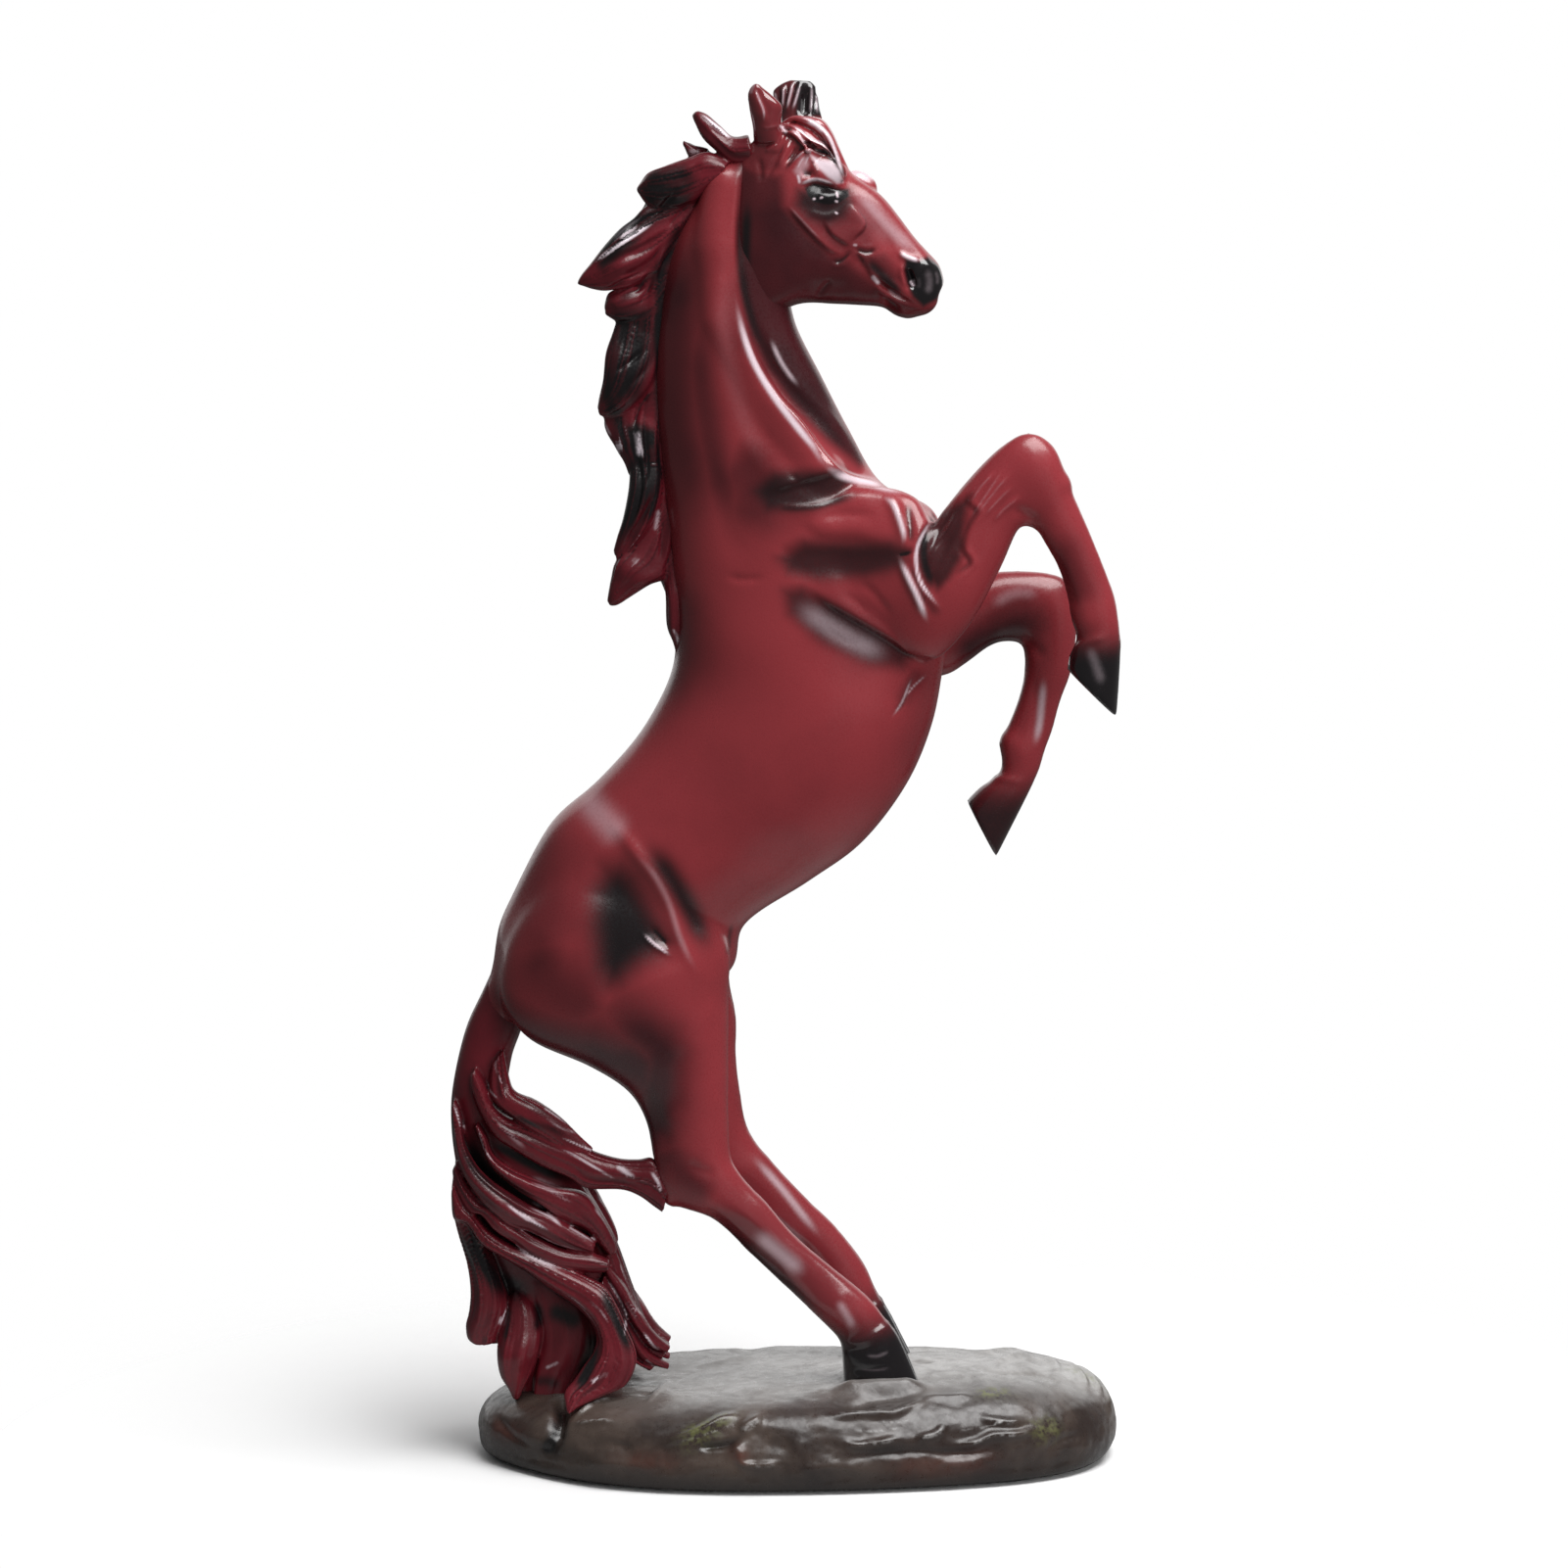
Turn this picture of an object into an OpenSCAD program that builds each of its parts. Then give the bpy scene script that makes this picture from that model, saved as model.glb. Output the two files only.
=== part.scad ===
// Rearing horse figurine in cast resin, standing on its hind hooves on a rock plinth.
// The horse faces +X, its right side faces -Y and +Z is up.
// The origin lies on the table, under the middle of the figurine.

/* [Figure] */
// Height from the table to the tip of the ears
figure_h = 300; // [240:5:360]
// Width of the horse across the barrel
barrel_w = 41; // [39:0.5:43]

/* [Plinth] */
// Length of the rock plinth
plinth_l = 143.5; // [142:0.5:160]
// Depth of the rock plinth
plinth_d = 75; // [70:1:84]
// Height of the rock plinth at its crown
plinth_h = 21; // [20.75:0.25:21.5]

/* [Felt, dowels and rods] */
// Diameter of a felt foot
felt_d = 12; // [8:1:16]
// Thickness of a felt foot
felt_t = 0.8; // [0.6:0.1:1.2]
// Diameter of the wooden dowels in the limbs and the neck
dowel_d = 4; // [3:0.5:4.5]
// Diameter of the steel rods that run into the plinth
rod_d = 3; // [2:0.5:3]
// Glue gap round a dowel or rod
glue_gap = 0.15; // [0.1:0.05:0.25]

/* [Surface] */
// Sides of a section through the body
body_sides = 20; // [18:2:24]
// Sides of a section through a leg
leg_sides = 14; // [12:2:16]
// Sides of a section through a lock of hair
lock_sides = 6; // [6:2:8]

/* [Hidden] */

rod_sides = 14;
felt_sides = 20;
// Sides of a small rounded form, and of a form of the face
bead_sides = 8;
face_sides = 8;
// The tables below are drawn for this height and barrel.
drawn_h = 300;
girth = barrel_w / 41;
coat = "#6e2529";
hair = "#5c1a26";
rock = "#4a4541";
felt = "#2a2a2c";
beech = "#c8a878";
steel = "#9a9da1";

// A station across a limb is [x and z of one edge, x and z of the other edge,
// y of its middle, half width, bias]: a bias above 0 makes the second edge's half wider.
// The torso and neck, from the dock of the tail up to the poll, back edge first.
trunk_stations = [
    [-63, 109, -60, 99.5, 0, 5, 0],
    [-62.5, 117.5, -43, 93, 0, 12, 0],
    [-60, 123, -13.5, 106, 0, 17, 0],
    [-51, 140, -8.5, 118, 0, 18, 0],
    [-41.5, 148.5, 5.5, 127.5, 0, 18, 0],
    [-33, 157.5, 17, 136, 0, 19.5, 0.05],
    [-27.5, 166, 26.5, 148.5, 0, 20.5, 0.08],
    [-24, 174.5, 32, 161.5, 0, 20.5, 0.08],
    [-23.5, 183, 34.5, 174.5, 0, 19.5, 0],
    [-24, 191.5, 36, 187, 0, 18.2, 0],
    [-25, 204, 33, 207, 0, 16, 0],
    [-26.5, 216.5, 21.5, 213.5, 0, 13.5, 0.1],
    [-27.5, 227, 14.3, 225, 0, 11.5, 0.1],
    [-28, 237.5, 7.8, 237.5, 0, 10.3, 0.1],
    [-27, 248, 2.6, 248, 0, 9.3, 0.1],
    [-25, 261, 1, 256.5, 0, 8.5, 0],
    [-21, 271, 0, 265, 0, 7.8, 0],
    [-13.5, 281.5, -1, 275.5, 0, 6.5, 0],
    [-8.5, 288, -2, 282.5, 0, 4, 0]];

// The long muscle down the right side of the neck, rear edge first.
neck_muscle_stations = [
    [-17, 278.5, -9, 277.5, -2, 4, 0],
    [-20.5, 264.5, -8.5, 263.5, -3, 6, 0],
    [-19.5, 248, -6.5, 250, -3.8, 6.6, 0],
    [-12.5, 230.5, -1, 237.5, -5, 6.6, 0],
    [-1, 215, 9, 224, -6.6, 6.6, 0],
    [6, 205, 17, 212, -7, 5, 0]];

// The head from the poll to the lips, forehead edge first.
head_stations = [
    [-2, 291, -10, 284, 0, 5, 0],
    [4, 291, -12, 276, 0, 7.4, 0],
    [8.6, 288.6, -13, 266, 0, 8.8, 0],
    [11.6, 284.2, -12, 256.5, 0, 9, 0],
    [15, 279.8, -6, 249.5, 0, 8.7, 0],
    [18.8, 277.2, 3.5, 252.4, 0, 7.6, 0],
    [21.6, 274.8, 11, 252.3, 0, 6.7, 0],
    [24.6, 271.1, 16.8, 252, 0, 6, 0],
    [28, 266.6, 21.2, 251.6, 0, 5.7, 0],
    [31, 263.3, 23.8, 249.9, 0, 5.8, 0],
    [33.3, 260.7, 27.2, 249.2, 0, 5.1, 0],
    [34.4, 257, 31.4, 251, 0, 3.4, 0]];

// The ears from root to tip, rear edge first; the left one shows its open cup.
right_ear_stations = [
    [-6.4, 286.5, 0, 287, -4.6, 2.8, 0],
    [-7, 291.5, -0.5, 291.5, -6, 2.8, 0],
    [-7.4, 294.3, -0.3, 294.2, -6.6, 2.3, 0],
    [-7.6, 297, -2.5, 296.8, -6.9, 1.6, 0],
    [-6.2, 299.2, -5.3, 299.1, -6.9, 0.8, 0]];
left_ear_stations = [
    [-0.5, 287, 7.5, 288, 4.2, 3, 0],
    [-0.7, 292.5, 8, 292.2, 5.2, 2.8, 0],
    [-1.6, 295.8, 7.3, 295.4, 5.8, 2.3, 0],
    [-2.2, 297.8, 6.9, 297.5, 6, 1.9, 0],
    [1.2, 300, 5.6, 299.8, 6.2, 1.1, 0]];

// The forelock, strand by strand: [route from the poll as x, y, z points, half breadth, half thickness].
forelock_strands = [
    [[[-1, 0, 290.5], [3.5, 0, 291.6], [9.4, 0, 288.6], [12.6, 0, 282.3], [14.6, 0, 279]], 1.3, 3.4],
    [[[-1.5, -4, 289], [3.5, -5, 290.5], [8, -5.4, 288.6], [10.8, -6, 283], [12.6, -6.2, 279.6]], 1.1, 1.6],
    [[[-0.5, -5.6, 287.6], [2.6, -6.8, 288.3], [5.4, -7.2, 287], [10.2, -7.6, 283.4]], 1, 1.3],
    [[[-1.5, 3.4, 289.5], [3.5, 4.6, 291], [8.4, 5, 288.6], [12, 5.6, 282.4]], 1.1, 1.6]];

// The upper hind leg, from the hip to the stifle, and then each lower leg, rear edge first.
// Hind legs and the right foreleg are drawn on the right side.
thigh_stations = [
    [-47, 131, -34, 134.5, -8, 5, 0],
    [-54.5, 124.5, -25.5, 132, -8.6, 8.8, 0],
    [-60, 115, -19, 126, -9, 11.6, 0],
    [-61.5, 103.5, -12, 115, -9.5, 12, 0],
    [-55.5, 94.5, -12, 104.5, -9.5, 11, 0]];

right_shank_stations = [
    [-42.5, 88.5, -12, 95, -9.5, 9.5, 0],
    [-34, 83, -12, 86, -9.5, 8, 0],
    [-30, 76.5, -12, 77.5, -10, 6.6, 0],
    [-28.5, 69, -11.5, 69, -10.5, 5.6, 0],
    [-27, 62, -9.5, 65, -11, 5, 0],
    [-23.5, 58, -7, 62, -11, 4.7, 0],
    [-15.5, 55, -3.5, 58.5, -11.5, 4.1, 0],
    [-7.5, 47.5, 2, 52, -12, 3.6, 0],
    [0, 40.5, 9.5, 45.5, -12.5, 3.6, 0],
    [8, 33, 18, 38.5, -13, 4.4, 0],
    [12, 28.5, 22, 33.5, -13, 4.2, 0],
    [12.5, 25.5, 25, 29.5, -13, 5.2, 0],
    [13, 18, 30, 18, -13, 6.6, 0]];

left_shank_stations = [
    [-42.5, 88.5, -10.5, 96, -9.5, 9.5, 0],
    [-34, 83, -10.5, 87, -9.5, 8, 0],
    [-29.5, 76.5, -9.5, 78.5, -10, 6.6, 0],
    [-27, 70, -8.3, 72, -10.5, 5.6, 0],
    [-24, 63, -6, 67.5, -11, 5, 0],
    [-20, 59, -3, 64, -11, 4.7, 0],
    [-12, 56.5, -1, 61.5, -11.5, 4.1, 0],
    [-4, 49.5, 5.5, 54.5, -12, 3.6, 0],
    [2.5, 43, 11.5, 48.5, -12.5, 3.6, 0],
    [8.5, 36, 17.5, 40.5, -13, 4.4, 0],
    [12, 30.5, 20.5, 34, -13, 4.2, 0],
    [13, 27, 23.5, 29, -13, 5.2, 0],
    [13.5, 18, 29, 18, -13, 6.6, 0]];

// The right foreleg from inside the shoulder to the hoof, lower edge first.
right_fore_stations = [
    [2, 194, 2, 206, -9, 5, 0],
    [9, 188.5, 8, 212, -10.2, 6, 0],
    [16, 184.5, 14.5, 213.5, -11, 6.8, 0],
    [24, 180, 22, 214, -11.5, 8, 0],
    [31.5, 176.5, 28.5, 211.5, -12, 8, 0],
    [39.5, 184, 31.5, 206, -12.5, 7.4, 0],
    [46, 196, 33.5, 208.5, -13, 6.4, 0],
    [49, 203, 39.5, 216, -13.3, 5.6, 0],
    [50.5, 205.5, 46, 222.5, -13.5, 5.2, 0],
    [52, 205.5, 52, 225.5, -13.5, 5, 0],
    [54, 204.5, 57.5, 222.5, -13.5, 4.8, 0],
    [55.5, 202, 61, 214, -13.5, 4.2, 0],
    [58.5, 196.5, 65, 205, -13.5, 3.6, 0],
    [60.5, 190, 68.5, 196.5, -13.5, 3.6, 0],
    [61.5, 185, 70.8, 190, -13.5, 4.1, 0],
    [62.5, 181.5, 71.8, 183, -13.5, 3.9, 0],
    [61, 178, 72, 179.5, -13.5, 4.8, 0],
    [60.5, 175, 71.2, 164.5, -13.5, 5.6, 0]];

// The left foreleg is folded lower than the right one.
left_fore_stations = [
    [12, 182, 12, 198, 10, 6, 0],
    [20, 175.5, 19.5, 197, 10.8, 6.6, 0],
    [27.5, 171, 27.5, 194, 11.5, 8, 0],
    [35, 171, 39.5, 191, 12, 7.2, 0],
    [39.5, 173.5, 44.5, 193.5, 12, 6.2, 0],
    [45, 177.5, 51, 194, 12, 5.4, 0],
    [49, 178.5, 57.5, 193.5, 12, 5, 0],
    [52, 177.5, 62, 191.5, 12, 4.9, 0],
    [52.5, 173, 64, 184.5, 12, 4.7, 0],
    [52, 169, 63, 173, 12, 4.1, 0],
    [50.5, 164, 60.5, 165.5, 12, 3.6, 0],
    [48.5, 159, 58.8, 159, 12, 3.6, 0],
    [47.5, 155, 57.3, 155, 12, 4, 0],
    [47.5, 150.5, 56, 150.5, 12, 3.7, 0],
    [45.5, 148, 54.5, 147, 12, 4, 0],
    [43, 146.5, 53, 144, 12, 4.6, 0],
    [40, 143.5, 46.5, 131, 12, 5.4, 0]];

// The body of the mane, along the crest, free edge first.
mane_stations = [
    [-21, 281, -6, 282, 0, 2, 0],
    [-28, 276, -12, 277, 0, 2.6, 0],
    [-33, 267.5, -16, 271, 0, 2.8, 0],
    [-35, 258.5, -20, 264, 0, 2.8, 0],
    [-35.5, 250, -23, 256, 0, 2.8, 0],
    [-36.5, 238, -24, 243, 0, 2.8, 0],
    [-35.5, 227, -24, 229.5, 0, 2.8, 0],
    [-31.5, 213, -23.5, 214.5, 0, 2.8, 0],
    [-31.5, 202, -22, 204, 0, 2.8, 0],
    [-27, 193.5, -21, 196, 0, 2.8, 0],
    [-23.5, 185, -20, 188, 0, 2, 0]];

// A lock of hair is [y at its root, middle and tip, half thickness there, and from root to tip
// x and z of its one edge, x and z of its other edge]. Locks lie on both sides of the mane.
mane_locks = [
    // At the poll
    [[-2.4, -1.6, -0.5], [4.2, 2.6, 0.8],
     [[-7.5, 288.5, -6.5, 282.5], [-11, 288, -11, 282], [-13.5, 290.5, -15, 285],
      [-16, 292.5, -17.5, 288], [-19, 293.5, -19.5, 292.5]]],
    // Behind the ears
    [[-2.5, -2.2, -0.5], [3.8, 3, 0.9],
     [[-11.5, 283, -15, 278], [-16.5, 285, -18, 275], [-21, 283.5, -22.5, 273],
      [-25.5, 281.5, -27, 272.5], [-29, 280, -29.5, 273.5], [-31.5, 277.5, -31.5, 276.5]]],
    // Big swept lock and the one below it
    [[-3, -3.4, -1], [3.6, 3, 0.9],
     [[-17.5, 275.5, -22.5, 267], [-23.5, 275, -25, 263], [-29, 273.5, -27.5, 258.5],
      [-35, 268.5, -34.5, 256], [-38.5, 265, -38, 255.5], [-41.5, 261, -41, 255.5],
      [-44.5, 257, -44, 256.5]]],
    [[-1.8, -1.6, -0.6], [3.2, 2.8, 1.2],
     [[-25, 262.5, -26.5, 254], [-30, 258, -28.5, 250], [-33.5, 256.5, -32, 248.5],
      [-36, 255.5, -35, 248.5], [-38.5, 252, -38.5, 250]]],
    // At the middle of the neck
    [[-2.6, -3.2, -1], [3.6, 3, 1],
     [[-35, 252, -26.5, 249], [-37, 246, -26.5, 242], [-38, 241.5, -28, 236],
      [-39, 236, -31.5, 231], [-40, 230.5, -39.5, 228.5]]],
    [[-1, -1.6, -1.6], [3.4, 2.8, 2],
     [[-35.5, 235.5, -26.5, 238], [-39, 227.5, -26.5, 230], [-36.5, 222, -26.5, 223],
      [-33.5, 216, -26, 211.5]]],
    // Towards the withers
    [[-3, -3.8, -2], [3, 2.8, 0.9],
     [[-31.5, 226, -27.5, 228], [-33, 219.5, -26.5, 220], [-33.5, 212.5, -26.5, 212.5],
      [-34.5, 206.5, -28.5, 205], [-36.5, 199.5, -36, 197.5]]],
    [[-2, -2.6, -1], [3.4, 2.8, 0.8],
     [[-28.5, 212.5, -22.5, 209], [-30.5, 206, -22, 200.5], [-33.5, 201, -24, 194],
      [-36, 197, -29, 192], [-37, 193.5, -33, 189.5], [-38, 188.5, -37.5, 187.5]]],
    [[-2.6, -3, -1.6], [3.4, 2.8, 1],
     [[-27, 205.5, -21, 204], [-26, 194.5, -21, 194], [-25, 183, -21.5, 182.5],
      [-23, 176.5, -22, 175.5]]]];

// A small lock that shows only behind the poll
poll_lock = [[1.5, 1.5, 1], [2.4, 1.8, 0.5],
    [[-16, 285.5, -17.5, 281.5], [-18.5, 286, -20, 283.5], [-21.5, 287.5, -22, 287]]];

// The body of the tail, from the dock to the rock, outer edge first.
tail_stations = [
    [-62, 111, -55, 101, 0, 4, 0],
    [-65.5, 103.5, -57.5, 94, 0, 5, 0],
    [-69.5, 94.5, -59.5, 88, 0, 5.5, 0],
    [-73, 81.5, -60, 80.5, 0, 5.6, 0],
    [-73.2, 72, -54, 74, 0, 5.4, 0],
    [-72, 62.5, -45, 63, 0, 5.4, 0],
    [-70, 51.5, -40, 53.5, 0, 5.6, 0],
    [-65, 42.5, -36, 44.5, 0, 5.8, 0],
    [-61, 34, -33, 36, 0, 6, 0],
    [-61, 24, -29.5, 27, 0, 6, 0],
    [-59.5, 10, -26, 13, 0, 6, 0]];

// Locks on both sides of the tail, from the dock down.
tail_locks = [
    [[-6, -9, -8], [1.6, 3, 2.4],
     [[-66.5, 75, -67, 74.5], [-63.5, 69, -64.5, 67.5], [-61, 66.5, -62.5, 64.5],
      [-56.5, 64, -58, 61], [-50.5, 62, -53, 58], [-43, 60, -48.5, 54], [-39, 54.5, -43.5, 52],
      [-36, 49.5, -40.5, 48.5], [-35, 46, -38, 45]]],
    [[-5, -9.6, -9], [2, 3.2, 2],
     [[-71.5, 81, -72, 78], [-70, 76.5, -71.5, 72], [-69, 70.5, -71, 67.5], [-66.5, 66, -69, 63],
      [-59.5, 60.5, -63, 56], [-55, 57.5, -59.5, 53.5], [-50.5, 55.5, -55.5, 52],
      [-46.5, 53, -50, 49.5], [-41, 49, -41.5, 47]]],
    [[-5, -8.8, -8.6], [2.2, 2.8, 2.4],
     [[-71, 67, -72, 64.5], [-69.5, 63, -71, 60.5], [-66.5, 59.5, -68.5, 56], [-60, 54.5, -63, 52],
      [-53.5, 50.5, -55, 46.5], [-48, 48, -48.5, 43.5], [-41.5, 47, -41.5, 42.5],
      [-38, 45.5, -38.5, 43]]],
    // Long lock that curls on to the rock
    [[-5, -11, -21], [2.4, 3.6, 1.2],
     [[-72, 63, -72.5, 59], [-67.5, 55, -69, 53], [-60, 49, -61.5, 46], [-54.5, 47, -56.5, 43],
      [-47.5, 44, -51, 39.5], [-42, 41.5, -46.5, 36.5], [-37, 37, -42.5, 33], [-34, 31, -40.5, 29],
      [-32, 25, -42, 25], [-34, 19.5, -45.5, 20.5], [-39, 17.5, -47.5, 18.5], [-46.5, 14, -46.5, 13.5]]],
    // Strands down to the rock
    [[-7, -7.5, -7], [2.6, 3.2, 2.2],
     [[-37, 50, -41, 45.5], [-35.5, 45.5, -39, 42.5], [-32.5, 40, -37, 38.5], [-30.5, 35, -35, 33.5],
      [-28.5, 29.5, -33, 29], [-26, 27, -32, 25.5], [-24.5, 25, -30.5, 22.5], [-24.5, 20, -27, 19]]],
    // Blunt lock at the back
    [[-2.5, -4, -4], [4, 3.8, 2],
     [[-72.5, 56.5, -65, 49], [-71, 50.5, -62, 41.5], [-69.5, 44, -60.5, 37], [-68.5, 38, -60.5, 34],
      [-69.5, 29.5, -61.5, 28], [-67.5, 25.5, -64.5, 26]]],
    // Bundle and panel behind the long lock
    [[-5, -7, -7], [3, 3.6, 3],
     [[-60, 38.5, -54.5, 38.5], [-61.5, 30, -54, 30], [-63, 22.5, -55, 21.5], [-61, 12, -56.5, 12]]],
    [[-4, -5, -6], [2.6, 2.6, 2.4],
     [[-55.5, 40, -42.5, 34.5], [-54.5, 34.5, -41.5, 30.5], [-54.5, 28.5, -41, 27.5],
      [-55, 23, -41.5, 23], [-57, 12, -46.5, 12]]]];

// Two strands that swing against the right hock
hock_locks = [
    [[-5, -8, -11], [2.6, 3.2, 2.6],
     [[-67, 87.5, -68, 85], [-63, 79.5, -66, 77.5], [-60, 76.5, -63, 72.5], [-55, 75, -59, 69.5],
      [-50, 73, -53, 66], [-44.5, 71, -47, 63.5], [-40.5, 69.5, -43, 61], [-35.5, 68, -35.5, 61],
      [-31.5, 68, -31.5, 60], [-28.5, 68, -28.5, 57.5], [-24.5, 63.5, -26.5, 56.5]]],
    [[-5.4, -8.6, -9.6], [2.4, 2.6, 1],
     [[-61, 91.5, -63.5, 88], [-59.5, 85, -64, 82.5], [-58, 82, -62.5, 79.5], [-53.5, 80.5, -58, 76],
      [-48.5, 77, -53, 73], [-44, 72.5, -48, 70], [-41.5, 70, -43.5, 69]]]];

// Joints between castings: [x, z, lean of the joint's axis from +Z towards +X].
// The axis points into the trunk.
right_fore_joint = [38.5, 196, 250];
left_fore_joint = [38.5, 182, 250];
thigh_joint = [-27, 92, -24];
// Reach of the space on the trunk's side of a joint: below its axis, above it, and along it
fore_reach = [23, 60, 60];
thigh_reach = [50, 50, 100];

// Dowels and rods: [x, y, z of the middle, lean from +Z towards +X, length].
neck_dowel_place = [-4, 0, 268, 68, 20];
right_fore_dowel_place = [36, -12.6, 195, 37, 20];
left_fore_dowel_place = [38.5, 12, 182, 70, 18];
thigh_dowel_place = [-26, 9.6, 91, -24, 26];
tail_dowel_place = [-60.5, 0, 103, 35, 12];
hoof_rod_place = [19.5, 13, 22, 152, 32];
tail_rod_place = [-44, 0, 16, 0, 20];

// Felt feet, as shares of the plinth's half length and half depth.
felt_along = 0.62;
felt_across = 0.5;

// The plinth, level by level: [share of its height, share of its outline].
plinth_middle_x = 3;
plinth_levels = [[0, 0.965], [0.12, 0.993], [0.36, 1], [0.6, 0.975], [0.78, 0.92], [0.9, 0.83], [0.97, 0.68],
                 [1, 0.4]];
plinth_sides = 36;
plinth_squareness = 0.92;
// Waves of the outline, fall of the crown towards the tail, and fall of its front edge.
rock_wave = 0.018;
rock_fall = 0.1;
rock_slope = 0.75;
// The cleft beside the tail's long lock: two points and the radius at each.
cleft_top = [-49, -15, 18.5];
cleft_foot = [-51.5, -27, 10];
cleft_radii = [2, 3];

function blend(a, b, c, d, t) =
    0.5 * (2 * b + (c - a) * t + (2 * a - 5 * b + 4 * c - d) * t * t
           + (3 * b - a - 3 * c + d) * t * t * t);

// Stations with smooth ones between them.
function refined(rows, steps) = let (last = len(rows) - 1) [
    for (i = [0 : last - 1], k = [0 : steps - 1])
        blend(rows[max(i - 1, 0)], rows[i], rows[i + 1], rows[min(i + 2, last)], k / steps),
    rows[last]];

function section(s, sides) =
    let (middle = [s[0] + s[2], 2 * s[4], s[1] + s[3]] / 2, reach = [s[2] - s[0], 0, s[3] - s[1]] / 2)
    [for (i = [0 : sides - 1]) let (a = 360 * i / sides)
        middle + reach * cos(a) + [0, s[5] * sin(a) * (1 + s[6] * cos(a)), 0]];

function widened(rows, share) =
    [for (s = rows) [s[0], s[1], s[2], s[3], s[4] * share, s[5] * share, s[6]]];

// Above 0 where the sections run anticlockwise as seen from the next station.
function hand(s, next) =
    let (way = [next[0] + next[2] - s[0] - s[2], next[1] + next[3] - s[1] - s[3]])
    (s[2] - s[0]) * way[1] - (s[3] - s[1]) * way[0];

// A closed skin over rings of points, from the first ring up to the last.
module skin(rings, sides) {
    n = len(rings);
    sides_faces = [for (j = [0 : n - 2], i = [0 : sides - 1])
        let (a = j * sides + i, b = j * sides + (i + 1) % sides)
        each [[a, a + sides, b], [b, a + sides, b + sides]]];
    polyhedron(
        points = [for (r = rings) each r],
        faces = concat(sides_faces, [[for (i = [0 : sides - 1]) i]],
                       [[for (i = [sides - 1 : -1 : 0]) (n - 1) * sides + i]]));
}

module loft(rows, sides, steps) {
    way_round = hand(rows[0], rows[1]) > 0 ? 1 : -1;
    rings = [for (s = refined(rows, steps)) let (ring = section(s, sides))
        way_round > 0 ? ring : [for (i = [0 : sides - 1]) ring[(sides - i) % sides]]];
    skin(rings, sides);
}

// A value that runs from root over middle to tip, at share u of the way.
function along(v, u) = u < 0.5 ? v[0] + (v[1] - v[0]) * 2 * u : v[1] + (v[2] - v[1]) * (2 * u - 1);

function lock_stations(l) =
    let (last = len(l[2]) - 1)
    [for (i = [0 : last]) concat(l[2][i], [along(l[0], i / last), along(l[1], i / last), 0])];

module locks(list)
    for (l = list)
        loft(lock_stations(l), lock_sides, 1);

// Breadth along a strand, as a share: slim at the root, full past the middle, drawn to a tip.
function swell(u) = max(0.1, 1.25 * sqrt(1 - u) * (0.6 + 0.8 * u));

function strand_stations(route, breadth, depth) =
    let (last = len(route) - 1)
    [for (i = [0 : last])
        let (c = route[i], way = route[min(i + 1, last)] - route[max(i - 1, 0)],
             side = [way[2], -way[0]] / norm([way[0], way[2]]) * breadth * swell(i / last))
        [c[0] - side[0], c[2] - side[1], c[0] + side[0], c[2] + side[1],
         c[1], depth * swell(i / last), 0]];

// A muscle or bone under the skin, between two points.
module swelling(a, b, ra, rb)
    hull() {
        translate(a) sphere(ra, $fn = bead_sides);
        translate(b) sphere(rb, $fn = bead_sides);
    }

module both_sides() {
    children();
    mirror([0, 1, 0]) children();
}

// Everything on the trunk's side of a joint.
module trunk_side(joint, reach)
    translate([joint[0], 0, joint[1]])
        rotate([0, joint[2], 0])
            translate([-reach[0], -reach[2] / 2, 0])
                cube([reach[0] + reach[1], reach[2], reach[2]]);

module rod(place, d)
    translate([place[0], place[1], place[2]])
        rotate([0, place[3], 0])
            cylinder(h = place[4], d = d, center = true, $fn = rod_sides);

// A socket's flats stand clear of the rod by the glue gap.
module socket(place, d)
    rod([place[0], place[1], place[2], place[3], place[4] + 2 * glue_gap],
        (d + 2 * glue_gap) / cos(180 / rod_sides));

module torso_form() {
    loft(widened(trunk_stations, girth), body_sides, 2);
    both_sides() {
        loft(neck_muscle_stations, leg_sides, 1);
        // Breast
        swelling([27, -5.5, 203], [30, -6, 192], 6.5, 7);
    }
}

module right_fore_form() {
    loft(right_fore_stations, leg_sides, 1);
    // Knee cap and fetlock
    swelling([53, -13.5, 219], [57.5, -13.5, 214], 4.6, 4);
    swelling([65, -13.5, 188], [65.5, -13.5, 186], 4.2, 4.2);
}

module left_fore_form() {
    loft(left_fore_stations, leg_sides, 1);
    swelling([58, 12, 187], [60, 12, 181], 4.6, 4);
    swelling([51, 12, 156], [51.5, 12, 154], 4.1, 4.1);
}

module hind_form(shank)
    loft(concat(thigh_stations, shank), leg_sides, 1);

module right_hind_form() {
    hind_form(right_shank_stations);
    // Point of the hock and fetlock
    swelling([-24, -11, 60], [-21, -11, 67], 2.6, 3.2);
    swelling([12, -13, 37], [13.5, -13, 35], 4.6, 4.6);
}

module left_hind_form()
    mirror([0, 1, 0]) {
        hind_form(left_shank_stations);
        swelling([-21, -11, 62], [-18, -11, 69], 2.6, 3.2);
        swelling([12.5, -13, 39], [13.5, -13, 37], 4.6, 4.6);
    }

// A rounded form of the face, by its middle and radii.
module rounded(middle, radii)
    translate(middle) scale(radii) sphere(1, $fn = face_sides);

module ears() {
    difference() {
        loft(right_ear_stations, lock_sides + 2, 1);
        swelling([-3.5, -2.6, 290.5], [-4.6, -5.4, 296.5], 1.8, 0.8);
    }
    difference() {
        loft(left_ear_stations, lock_sides + 2, 1);
        swelling([4.2, 2, 291.5], [4.2, 4.2, 297.6], 1.8, 1.2);
    }
}

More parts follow.
